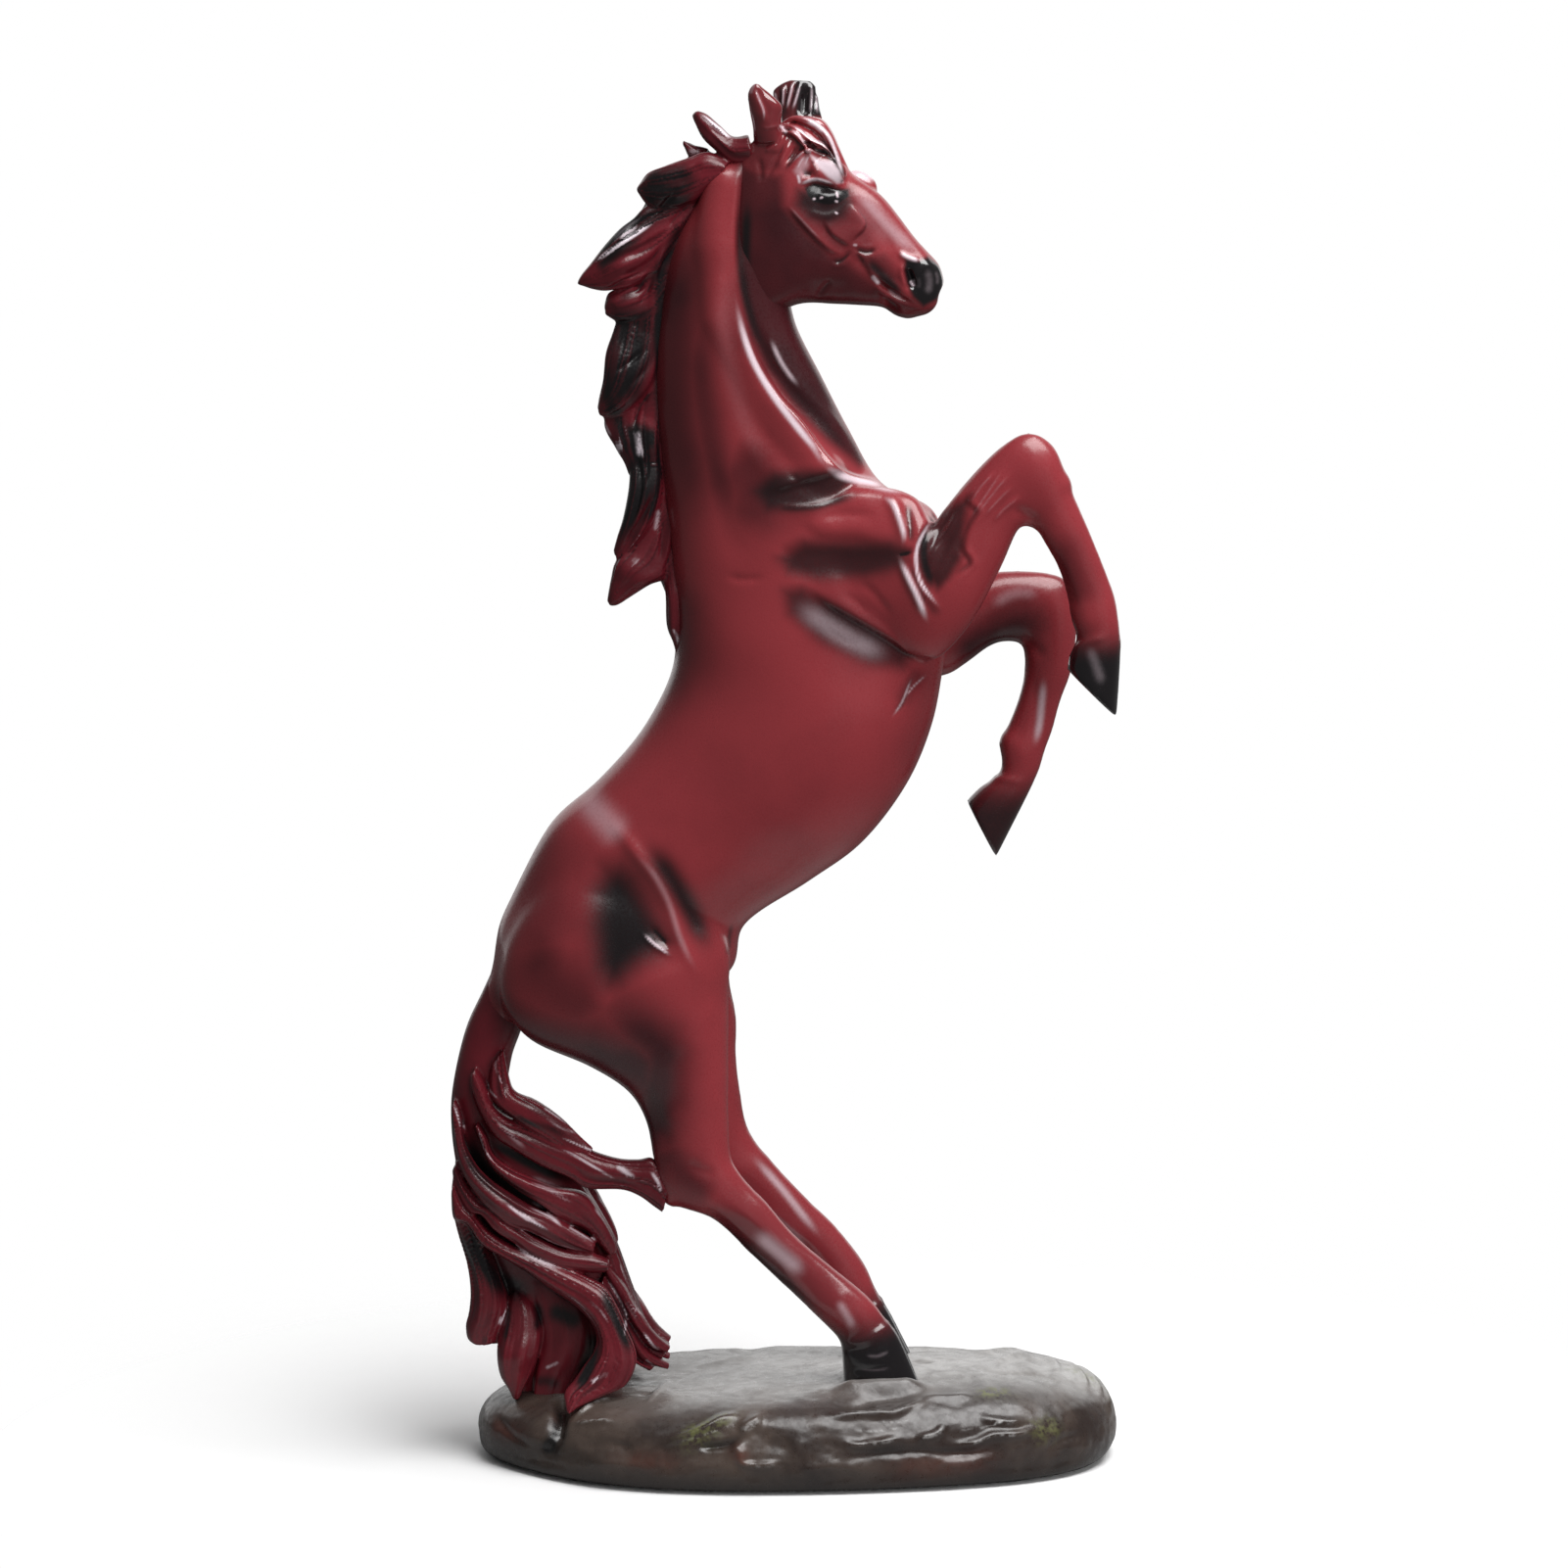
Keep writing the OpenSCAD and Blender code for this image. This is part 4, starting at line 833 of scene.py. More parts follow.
def shapeBody():
    parts = [loft(body["trunk"], body["sides"], body["steps"])]
    for rows in (body["thigh"] + body["rightShank"], body["rightFore"], body["leftFore"]):
        parts.append(loft(rows, body["legSides"], body["steps"]))
    parts.append(flipped(loft(body["thigh"] + body["leftShank"], body["legSides"], body["steps"])))
    for a, b, ra, rb in body["muscles"]:
        for part in swelling(a, b, ra, rb):
            parts += [part, flipped(part)]
    for a, b, ra, rb in body["bones"]:
        parts += swelling(a, b, ra, rb)
    skin = Skin(*evenSkin(parts, body["voxel"]))
    print("stage: body skin,", len(skin.points), "points")
    keep = np.ones(len(skin.points))
    for centre, radius in body["hooves"]:
        keep = np.minimum(keep, 1 - body["hoofShare"] * zone(skin.points, centre, radius))
    skin.smooth(body["evening"], keep)
    for centre, radius, rounds in body["blends"]:
        skin.smooth(rounds, keep * zone(skin.points, centre, radius))
    tufts = [[line, *body["tuftRidge"]] for line in body["forearmTufts"]]
    carve(skin, body["folds"], "both", kind=fold)
    carve(skin, body["hollows"], "both", kind=patch)
    carve(skin, body["forearmHollow"], "near", nearDepth, patch)
    carve(skin, body["neckLines"], "both")
    carve(skin, body["forearmLines"] + tufts, "near", nearDepth)
    carve(skin, body["farForeLines"], "both", farDepth)
    carve(skin, body["flankLines"], "both")
    carve(skin, body["hindLines"], "both")
    skin.smooth(body["lastEvening"])
    return skin


def paintBody(skin):
    p = skin.points
    black, deep, highlight, shine, hooves = np.zeros((5, len(p)))
    paint(skin, black, body["black"], "both")
    paint(skin, black, body["blackPatches"], "both", kind=patch)
    paint(skin, black, body["forearmBlack"], "near", nearDepth)
    hollow = [[outline, *body["hollowBlack"]] for outline, _, _ in body["forearmHollow"]]
    paint(skin, black, hollow, "near", nearDepth, patch)
    paint(skin, deep, body["deep"], "both")
    paint(skin, deep, body["deepPatches"], "both", kind=patch)
    for start, full, tilt, middle, leastX, depths, strength in body["hoofBlack"]:
        here = (p[:, 0] > leastX) & (p[:, 1] > depths[0]) & (p[:, 1] < depths[1])
        hoof = strength * here * softStep(start, full, p[:, 2] - tilt * (p[:, 0] - middle))
        hooves = np.maximum(hooves, hoof)
    # Painted highlights on raised edges, on the tufts and on the far legs
    paint(skin, highlight, body["highlight"], "both")
    tufts = [[line, *body["tuftHighlight"]] for line in body["forearmTufts"]]
    paint(skin, highlight, tufts, "near", nearDepth)
    paint(skin, highlight, body["farLegHighlight"], "near", farDepth)
    paint(skin, shine, body["shine"], "both")
    return {"black": np.maximum(black, hooves), "deep": deep, "highlight": highlight,
            "shine": np.maximum(shine, body["hoofShine"] * hooves),
            "relief": skin.relief(body["reliefRounds"])}


bodySkin = shapeBody()
bodyPiece = addObject("horse_body", skinMesh("horse_body", bodySkin, paintBody(bodySkin)))
bodyPiece.data.materials.append(coat)
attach(bodyPiece, "root")
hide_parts("trunk", "right_foreleg", "left_foreleg", "right_hind_leg", "left_hind_leg")
print("stage: body carved and painted")


# Head with its ears, eyes and forelock

jawCrease = [10.2, 257.9, 8.5, 255.7, 7, 253.6]
head = {
    "voxel": 0.27, "evening": 6, "ballSides": 32,
    # Lofts: sides, steps and fullness of the skull and the ears, sides and steps of a lock
    "skullLoft": (72, 8, 0.75), "earLoft": (40, 6, 1.3), "lockLoft": (16, 6),
    # Hair starts and is full at these heights, and these zones of the face are evened out further.
    "hairline": (277, 286), "evenZones": [[[20, 0, 262], 22], [[0, 0, 262], 18]], "evenRounds": 50,
    "nearEarDepth": (-60, -3), "reliefRounds": 10,
    # The far ear shows its inside above a z, darker towards the right: black there and what x adds
    "earInside": (291, 293), "earFacing": (0.3, -0.1), "earDarker": (1.6, 3.4), "earBlack": (0.55, 0.4),
    # The forelock gets painted highlights on the ridges of its strands and painted shade, deep red, between
    # them: where, then how much.
    "lockZ": (279, 284), "lockX": (0, 3), "lockTop": (293, 292), "lockHighlight": 0.4, "lockShade": 0.8,
    # Polished from here upwards
    "shineZ": (282, 286),
    "skull": [
        [-2, 291, -10, 284, 0, 5, 0],
        [4, 291, -12, 276, 0, 7.4, 0],
        [8.6, 288.6, -13, 266, 0, 8.8, 0],
        [11.6, 284.2, -12, 256.5, 0, 9, 0],
        [15, 279.8, -6, 249.5, 0, 8.7, 0],
        [18.8, 277.2, 3.5, 252.4, 0, 7.6, 0],
        [21.6, 274.8, 11, 252.3, 0, 6.7, 0],
        [24.6, 271.1, 16.8, 252, 0, 6, 0],
        [28, 266.6, 21.2, 251.6, 0, 5.7, 0],
        [31, 263.3, 23.8, 249.9, 0, 5.8, 0],
        [33.3, 260.7, 27.2, 249.2, 0, 5.1, 0],
        [34.4, 257, 31.4, 251, 0, 3.4, 0]],
    "nearEar": [
        [-6.4, 286.5, 0, 287, -4.6, 2.8, 0],
        [-6.7, 290.2, -0.5, 290.4, -5.6, 2.8, 0],
        [-7.1, 292.3, -0.5, 292.3, -6.2, 2.7, 0],
        [-7.4, 294.3, -0.3, 294.2, -6.6, 2.3, 0],
        [-7.6, 296, -1.2, 295.6, -6.8, 1.9, 0],
        [-7.6, 297.4, -2.9, 297.1, -6.9, 1.5, 0],
        [-7, 298.6, -4.4, 298.3, -6.9, 1.2, 0],
        [-6.2, 299.2, -5.3, 299.1, -6.9, 0.8, 0]],
    "farEar": [
        [-0.5, 287, 7.5, 288, 4.2, 3, 0],
        [-0.6, 291.7, 8.2, 291.4, 5, 2.9, 0],
        [-0.8, 293.7, 7.8, 293.5, 5.4, 2.6, 0],
        [-1.6, 295.8, 7.3, 295.4, 5.8, 2.3, 0],
        [-2.4, 297.6, 6.9, 297.4, 6, 1.9, 0],
        [-0.8, 299.1, 6.7, 298.8, 6.2, 1.5, 0],
        [1.2, 300, 5.6, 299.8, 6.2, 1.1, 0]],
    # Rounded forms of both sides: centre and radii
    "swells": [
        [[8, -5, 280.6], [5.4, 2.9, 3.2]],
        [[8.8, -5.3, 275.2], [3.6, 3.2, 2.5]],
        [[28.5, -2.8, 259], [4.2, 3.2, 4]],
        [[28.6, -1.4, 253.9], [4.6, 3.4, 4.2]]],
    "farBrow": [[[15.4, 3.8, 278], [3.6, 2.6, 2.8]], [[17.3, 3.8, 276.6], [2.9, 2.6, 3.2]]],
    # Locks of the forelock: route from the poll, half breadth, half thickness
    "forelock": [
        [[[-1, 0, 290.5], [3.5, 0, 291.6], [7.4, 0, 290.9], [9.4, 0, 288.6], [11, 0, 285.4],
        [12.6, 0, 282.3],
          [14.6, 0, 279]], 1.3, 3.6],
        [[[-1.5, -2.6, 290], [2, -3, 291.9], [5.8, -3.8, 290.8], [8.9, -4.6, 288.2], [10.6, -5.4, 284.6],
        [11.7, -6, 281.4],
          [12.9, -6.4, 278]], 1.1, 1.4],
        [[[-1.2, -4.6, 289.6], [1, -5.2, 290.2], [3.3, -6, 289], [5.4, -6.8, 287.3], [8.3, -7.2, 285.9],
        [10, -7.4, 284.2],
          [11.4, -7.4, 282.2]], 0.8, 1.3],
        [[[-1, -5.6, 289], [1.6, -6.8, 288.8], [3.1, -7.4, 287.7], [4.8, -7.8, 285.6],
        [5.6, -7.8, 284.6]], 0.7, 1.2],
        [[[-1.5, 2.8, 290], [2, 3.4, 291.6], [5.4, 4, 291], [8.4, 4.6, 289], [10.2, 5.2, 286],
        [12, 5.6, 282.4]], 1, 1.4],
        [[[-1, 4.6, 288.8], [2, 5.6, 289.8], [5.4, 6.2, 289], [8.4, 6.6, 286.6], [10.2, 7, 283.6]],
        1, 1.3]],
    # Steps in the face: each stands up on the left of its line
    "folds": [
        # Cheek bone, the fold above it and the edge of the face
        [[0.1, 273.8, 2.6, 270.9, 5.3, 267.9, 8, 265.2, 10.4, 263.5, 12.9, 263.1], 0.55, 0.55],
        [[8.1, 270.6, 9.1, 268.7, 10.4, 267.1, 12.6, 265.6, 14.5, 264.6], 0.42, 0.5],
        [[13.7, 274.4, 15.8, 272.2, 17.3, 270, 16.9, 268.4, 15.3, 266.8, 14, 265.3], -0.4, 0.45],
        [[15.2, 264, 16.7, 261.9, 18.9, 258.1, 21.1, 256.2], 0.4, 0.6],
        # Upper lid and the edge of the brow below the forelock
        [[3, 277.6, 6.3, 278.7, 9.1, 278.1, 11.2, 277.3, 13, 276.9], 0.75, 0.5],
        [[-0.1, 280.8, 2, 283.4, 4.8, 285.6, 7.5, 284.6, 9.9, 283.7, 11.8, 281.2,
          13.1, 278.4], -0.7, 0.5]],
    "lines": [
        # Star of creases in the cheek
        [[10.2, 262, 11.5, 261.6, 12.9, 262.4, 14.4, 264], -0.5, 0.5],
        [[9.8, 261.2, 11.6, 260.5, 13.4, 261.4], 0.14, 0.7],
        [[14.9, 264.4, 17.6, 263.6, 19.9, 264.3], -0.5, 0.45],
        [[14.9, 265.2, 17.4, 264.6, 20, 265.2], 0.1, 0.7],
        # Mouth
        [[18.9, 258.4, 21.1, 256.4, 23.5, 254.7, 26.2, 253.2, 28.4, 252.2], -0.75, 0.45],
        [[19.6, 259.4, 22, 257.6, 24.5, 255.9, 26.8, 254.4], 0.35, 0.8],
        [[18.9, 257.2, 20.6, 255.4, 23.3, 253.5, 25.6, 251.9], 0.35, 0.7],
        # Nostril
        [[26.4, 260.7, 26.7, 258.8, 27.4, 257, 28, 255.4], -1.5, 0.8],
        [[24.2, 263.7, 26.4, 262.3, 29.2, 261.5], 0.6, 0.7],
        [[25.2, 261.5, 25.2, 258.6, 26.2, 255.6], 0.4, 0.7],
        [[29.6, 260, 30.4, 257.6, 30.2, 255], -0.3, 1],
        # Lids and brow
        [[3.4, 280.2, 5, 280.3, 6.6, 279.9], -0.6, 0.9], [[5.6, 284, 6.2, 281.6, 7.6, 279.4], 0.4, 0.7],
        [[4.6, 272.6, 7.4, 271.4, 10.2, 271.4, 12.6, 273], 0.25, 0.8],
        # Jaw
        [[3.5, 255.6, 9.5, 255.8, 15.5, 256.2], -0.3, 1.8],
        [jawCrease, -0.35, 0.7],
        [[21.5, 253, 23.5, 251.5], -0.4, 0.9], [[16.8, 262, 19.4, 260.2, 21.4, 258], -0.3, 1.2],
        [[18, 270, 21.5, 266, 24, 263.4], -0.35, 2],
        # Short hair below the ear
        [[-5, 290.2, -3.7, 289.8, -1.8, 290.2, -0.6, 290.6], 0.2, 0.5],
        [[-0.7, 289.7, -0.3, 287.9, -1.4, 285.3, -3.3, 284.9], 0.5, 0.5],
        [[-4.2, 284.6, -2.4, 285.8, -1, 286.4], 0.4, 0.45],
        [[0.4, 287.9, -0.7, 285.3, -2.5, 281.6, -4.4, 277.9], -0.5, 0.6],
        [[-5.6, 284, -5, 281, -5, 278], -0.4, 0.7], [[3, 286.5, 2, 284.6, 0.5, 282.5], -0.4, 0.5],
        [[1.4, 287, 0.2, 284.6, -1.4, 281.4], 0.35, 0.5]],
    "earFolds": [[[-6.2, 298.7, -5.2, 296, -4, 293.2, -4.2, 290.6], -0.42, 0.5]],
    # Hair inside the far ear: line, height and width; a height below 0 is a groove
    "farEarHair": [
        [[-2.2, 297.8, -1.7, 296, -1, 293.8], 0.45, 0.4],
        [[-1.2, 298.6, -0.9, 296.2, -0.7, 293.7], -0.45, 0.35],
        [[-0.1, 299, -0.2, 296.4, -0.4, 293.7], 0.45, 0.35],
        [[0.9, 299.5, 0.5, 296.6, 0, 293.5], -0.45, 0.35], [[2, 299.9, 1.3, 296.8, 0.4, 293.4], 0.5, 0.4],
        [[2.9, 299.9, 2, 296.6, 1, 293.3], -0.45, 0.35],
        [[3.6, 299.6, 2.7, 296.4, 1.6, 293.2], 0.45, 0.4], [[4.8, 298.6, 4.6, 295.4, 4.2, 292], -1.1, 1],
        [[5.9, 299.4, 5.9, 296.4, 5.6, 292.4], 0.4, 0.4], [[6.9, 297.6, 7, 295, 7.2, 292.4], 0.35, 0.4]],
    # Black paint, with painted shade under the edge of the forelock and where the jaw meets the neck: line or
    # outline, strength, width
    "black": [
        # Painted shade under the edge of the forelock
        [[4.4, 286.2, 7.5, 285, 9.9, 284, 11.8, 281.4, 13.4, 277.8], 1, 1],
        [[7.4, 285.4, 9.6, 284.6, 11, 282.8], 0.8, 0.8], [[-0.1, 280.6, 2, 283.2, 4.6, 285.4], 0.7, 0.5],
        [[3.9, 280, 5, 280.3, 6.2, 280.1], 0.75, 0.8], [[5.6, 284, 6.4, 281.8, 7.8, 279.6], 0.55, 0.35],
        [[16, 263, 19, 260.4, 22.7, 257, 26.4, 253.4], 0.85, 1.5],
        # Painted shade where the jaw overlaps the neck
        [[-7.6, 277, -8, 268, -8.2, 259, -7.4, 249], 0.9, 1.3],
        [[0.1, 273.5, 2.6, 270.6, 5.3, 267.6, 8, 264.9, 10.4, 263.2], 0.4, 0.5],
        [[8.1, 270.4, 9.1, 268.5, 10.4, 266.9, 12.6, 265.4, 14.5, 264.4], 0.4, 0.4],
        [[13.7, 274.6, 15.9, 272.3, 17.5, 270, 17, 268.2, 15.3, 266.6, 14, 265.1], 0.45, 0.35],
        [[10.2, 262, 11.5, 261.5, 12.9, 262.3, 14.2, 263.7], 0.7, 0.45],
        [[14.9, 264.3, 17.6, 263.5, 19.9, 264.3], 0.7, 0.5],
        [[15.2, 264, 16.7, 261.9, 17.8, 260.6], 0.5, 0.6],
        [[17.4, 262.2, 19.6, 260.6], 0.45, 1.4],
        [jawCrease, 0.35, 0.6]],
    "eyeBlack": [
        [[4.3, 277.3, 6.3, 278.5, 9.1, 277.9, 11.2, 277.2, 13.9, 277, 14.1, 275.2, 12, 273.6, 9.1, 273.2,
          6.2, 273.8, 4.8, 275.2], 1, 0.9],
        [[2.6, 277, 14.3, 277, 15, 274, 13.2, 270.6, 9.4, 269, 5, 270.6, 2.6, 273.4], 0.8, 2.4]],
    "muzzleBlack": [
        [[25.9, 262.2, 28.7, 261.8, 30.8, 262.6, 34.6, 260, 35, 257, 33, 253.4, 29.8, 251.8, 27.4, 254,
          26, 257, 25.5, 259.7], 1, 1]],
    # Darker red, partly painted shade, and painted highlights
    "deepPatches": [
        [[-9, 282, -0.3, 280, 0.2, 273.6, 5.3, 267.7, 10, 263.4, 13, 262.6, 16, 260, 19, 257.6, 22, 255,
          22, 250, 2.3, 248, 3, 240, -14, 240, -14, 270], 0.85, 2],
        [[0.4, 274, 5, 277, 14, 274, 19, 268, 20, 262, 17, 260, 10, 263.6, 5, 268], 0.45, 2.4],
        [[17, 263, 21.5, 263.2, 25, 258, 22, 256.4], 0.6, 1.4],
        [[22, 254.6, 27, 253.4, 30, 251.6, 33, 252.4, 34, 250, 30, 246, 25, 246.4, 21, 250], 0.75, 1.5],
        [[-8, 290, -1, 290, 0, 281, -8, 278], 0.65, 2.4], [[-9, 301, 1, 301, 1, 288, -9, 288], 0.5, 2]],
    "browHighlight": [
        [[5.5, 284.2, 7.5, 283.2, 10.2, 282.8, 11.8, 280.8, 12.5, 278.4, 11.2, 278.2, 9.5, 279.4,
          7.4, 281.4], 1, 0.8],
        [[1.8, 280.8, 3.6, 283.8, 5.2, 284.3, 5.6, 282, 3.6, 278.4], 0.4, 0.9]],
    "highlight": [
        # Strands of the forelock
        [[2, 292.4, 5.8, 291.4, 9, 288.8, 10.9, 285, 12, 281.6, 13.1, 278.4], 0.95, 0.45],
        [[4.4, 291.6, 6.8, 290.6, 9, 288.6], 0.9, 0.7],
        [[1, 290.8, 3.3, 289.5, 5.4, 287.8, 8.3, 286.4, 10.2, 284.6], 0.85, 0.35],
        [[1, 289.6, 2.6, 288.8, 3.8, 287.4, 5, 285.8], 0.7, 0.35],
        [[-0.6, 290.2, 0.4, 289], 0.8, 0.4],
        # Painted highlights on the lids and glints of the eye
        [[3, 277.8, 6.3, 279, 9.1, 278.5, 11.2, 277.8], 0.9, 0.4],
        [[2.8, 280.4, 3.2, 279, 3.4, 277.8], 0.8, 0.35], [[2.6, 280.8, 3.6, 282.8, 4.8, 284.2], 0.6, 0.3],
        [[4.4, 281.6, 4.8, 283, 5.4, 284.2], 0.6, 0.3],
        [[6.3, 274.9, 6.5, 274.9], 0.9, 0.26],
        [[7.8, 275.1, 8.1, 275.2], 0.9, 0.26],
        [[11, 274.4, 11.3, 274.3], 0.8, 0.26],
        [[11, 272, 11.3, 271.8], 0.8, 0.26],
        [[11.2, 276.2, 11.4, 275.4], 0.8, 0.3],
        # Painted sheen on the top of the nose
        [[13.4, 278.6, 15.6, 276.2, 18.8, 272.8, 22.6, 268.6, 26.6, 264.8, 30.3, 261.7], 0.4, 1.8],
        [[13.6, 276.4, 17.2, 272.4, 21.4, 267.8, 25, 264.2], 0.2, 3],
        # Nostril, mouth and cheek
        [[24.4, 263.8, 26.5, 262.5, 29.2, 261.7], 0.95, 0.55],
        [[27.2, 257.2, 27.6, 256.6], 0.8, 0.4],
        [[30, 260.6, 30.9, 258.4, 31, 256, 30.2, 253.8], 0.24, 1.1],
        [[32.2, 260, 32.8, 258, 32.6, 256], 0.2, 0.6], [[28.4, 258.6, 28.8, 257, 28.6, 255.4], 0.16, 0.7],
        [[18.5, 258.8, 19.5, 257.7, 20.6, 256.6], 1, 0.45],
        [[21.8, 256, 23.6, 254.5, 25.8, 253.2], 0.32, 0.6],
        [[14.5, 265, 15.1, 265.1, 15.8, 264.9], 0.5, 0.35],
        [[0.5, 274.2, 3, 271.3, 5.8, 268.3, 8.6, 265.6], 0.3, 0.35],
        [[16, 265.4, 18, 265.2, 20, 265.8], 0.12, 0.5]],
    "earHighlight": [
        [[-6.3, 298.8, -5.4, 296.2, -4.3, 293.4, -4.4, 290.8], 0.5, 0.3],
        [[-5, 290.4, -3.7, 290, -1.8, 290.4, -0.8, 290.8], 0.15, 0.35],
        [[-7.2, 296.6, -6.6, 298.6, -5.6, 299], 0.35, 0.5]],
    # The far brow catches the light: centre, radius, strength
    "farBrowHighlight": [[16.6, 4, 280.4], 4.6, 0.7],
}


# Stations of a lock along its route, full in the middle and pointed at its end.
def lockRows(route, breadth, depth, steps):
    fine = refined(route, steps)
    last = len(fine) - 1
    rows = []
    for i, c in enumerate(fine):
        way = fine[min(i + 1, last)] - fine[max(i - 1, 0)]
        u = i / last
        swell = max(0.06, 1.25 * (1 - u) ** 0.62 * (0.6 + 0.8 * u))
        swell *= float(0.3 + 0.7 * softStep(0, 0.35, u))
        side = np.array([way[2], -way[0]]) / max(math.hypot(way[0], way[2]), 1e-6) * breadth * swell
        edges = [c[0] - side[0], c[2] - side[1], c[0] + side[0], c[2] + side[1]]
        rows.append([*edges, c[1], depth * swell, 0])
    return rows


def shapeHead():
    parts = [loft(head["skull"], *head["skullLoft"])]
    parts += [loft(head[ear], *head["earLoft"]) for ear in ("nearEar", "farEar")]
    parts += [ball(centre, radii, head["ballSides"]) for centre, radii in head["farBrow"]]
    for centre, radii in head["swells"]:
        part = ball(centre, radii, head["ballSides"])
        parts += [part, flipped(part)]
    lockSides, lockSteps = head["lockLoft"]
    for route, breadth, depth in head["forelock"]:
        parts.append(loft(lockRows(route, breadth, depth, lockSteps), lockSides, 1))
    skin = Skin(*evenSkin(parts, head["voxel"]))
    print("stage: head skin,", len(skin.points), "points")
    hairy = softStep(*head["hairline"], skin.points[:, 2])
    skin.smooth(head["evening"], 1 - 0.8 * hairy)
    even = np.maximum.reduce([zone(skin.points, centre, radius) for centre, radius in head["evenZones"]])
    skin.smooth(head["evenRounds"], even * (1 - hairy))
    carve(skin, head["folds"], "both", kind=fold)
    carve(skin, head["lines"], "both")
    carve(skin, head["earFolds"], "near", head["nearEarDepth"], fold)
    carve(skin, head["farEarHair"], "near", farDepth)
    skin.smooth(1)
    return skin


def paintHead(skin):
    p, relief = skin.points, skin.relief(head["reliefRounds"])
    x, y, z = p.T
    black, deep, highlight, shine = np.zeros((4, len(p)))
    paint(skin, black, head["black"], "both")
    paint(skin, black, head["eyeBlack"] + head["muzzleBlack"], "both", kind=patch)
    inner = softStep(*head["earInside"], z) * (y > farDepth[0])
    inner = inner * softStep(*head["earFacing"], skin.normals()[:, 1])
    least, more = head["earBlack"]
    black = np.maximum(black, inner * (least + more * softStep(*head["earDarker"], x)))
    paint(skin, deep, head["deepPatches"], "both", kind=patch)
    # Painted highlights and sheen
    paint(skin, highlight, head["browHighlight"], "both", kind=patch)
    paint(skin, highlight, head["highlight"], "both")
    paint(skin, highlight, head["earHighlight"], "near", head["nearEarDepth"])
    earHair = [[line, max(0, 1.3 * height), 0.9 * width] for line, height, width in head["farEarHair"]]
    paint(skin, highlight, earHair, "near", farDepth)
    centre, radius, strength = head["farBrowHighlight"]
    highlight = np.maximum(highlight, strength * zone(p, centre, radius) * softStep(0, 1.5, y))
    forelock = softStep(*head["lockZ"], z)
    ridges = softStep(0.02, 0.22, relief) * forelock * softStep(*head["lockX"], x)
    ridges = ridges * softStep(*head["lockTop"], z)
    highlight = np.maximum(highlight, head["lockHighlight"] * ridges)
    # Painted shade between the strands of the forelock
    deep = np.maximum(deep, head["lockShade"] * softStep(0, -0.2, relief) * forelock)
    paint(skin, shine, head["muzzleBlack"], "both", kind=patch)
    shine = np.maximum(shine, softStep(*head["shineZ"], z))
    return {"black": black, "deep": deep, "highlight": highlight, "shine": shine, "relief": relief}


headSkin = shapeHead()
headPiece = addObject("horse_head", skinMesh("horse_head", headSkin, paintHead(headSkin)))
headPiece.data.materials.append(coat)
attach(headPiece, "root")
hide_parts("head")
print("stage: head carved and painted")


# Mane and tail

# Both: sides and steps of the core and of a lock, turn of the strands from lock to lock
hairForm = {
    "core": (40, 6), "sides": 144, "steps": 7, "turn": 1.7, "evening": 3, "reliefRounds": 8,
    # Section of a lock: fullness, then height, number and twist of its ribs
    "fullness": 0.85, "ribs": (0.05, 7, 2),
    # Strands vary in breadth from lock to lock, crowd across it and bend along it: how much, how often
    "breadths": (0.25, 2.3), "crowding": (0.12, 9), "bend": (0.5, 5),
    # They rise and fall: least height, what is added, how often along and across the lock
    "rise": (0.65, 0.35, 7, 3),
    # Black in the creases, a painted shade: strength, relief where it starts and is full, rounds of spreading
    "creaseBlack": 0.85, "creaseRelief": (-0.07, -0.48), "blackSpread": 5,
    # Fine strands across a lock: share, width, drift along the lock
    "strands": [[0.5, 2.3, 2.5], [0.4, 1.4, -4], [0.35, 0.85, 6]],
    # A strand is full this close to its lock, and gone this far away.
    "full": 0.5, "gone": 1.6,
}
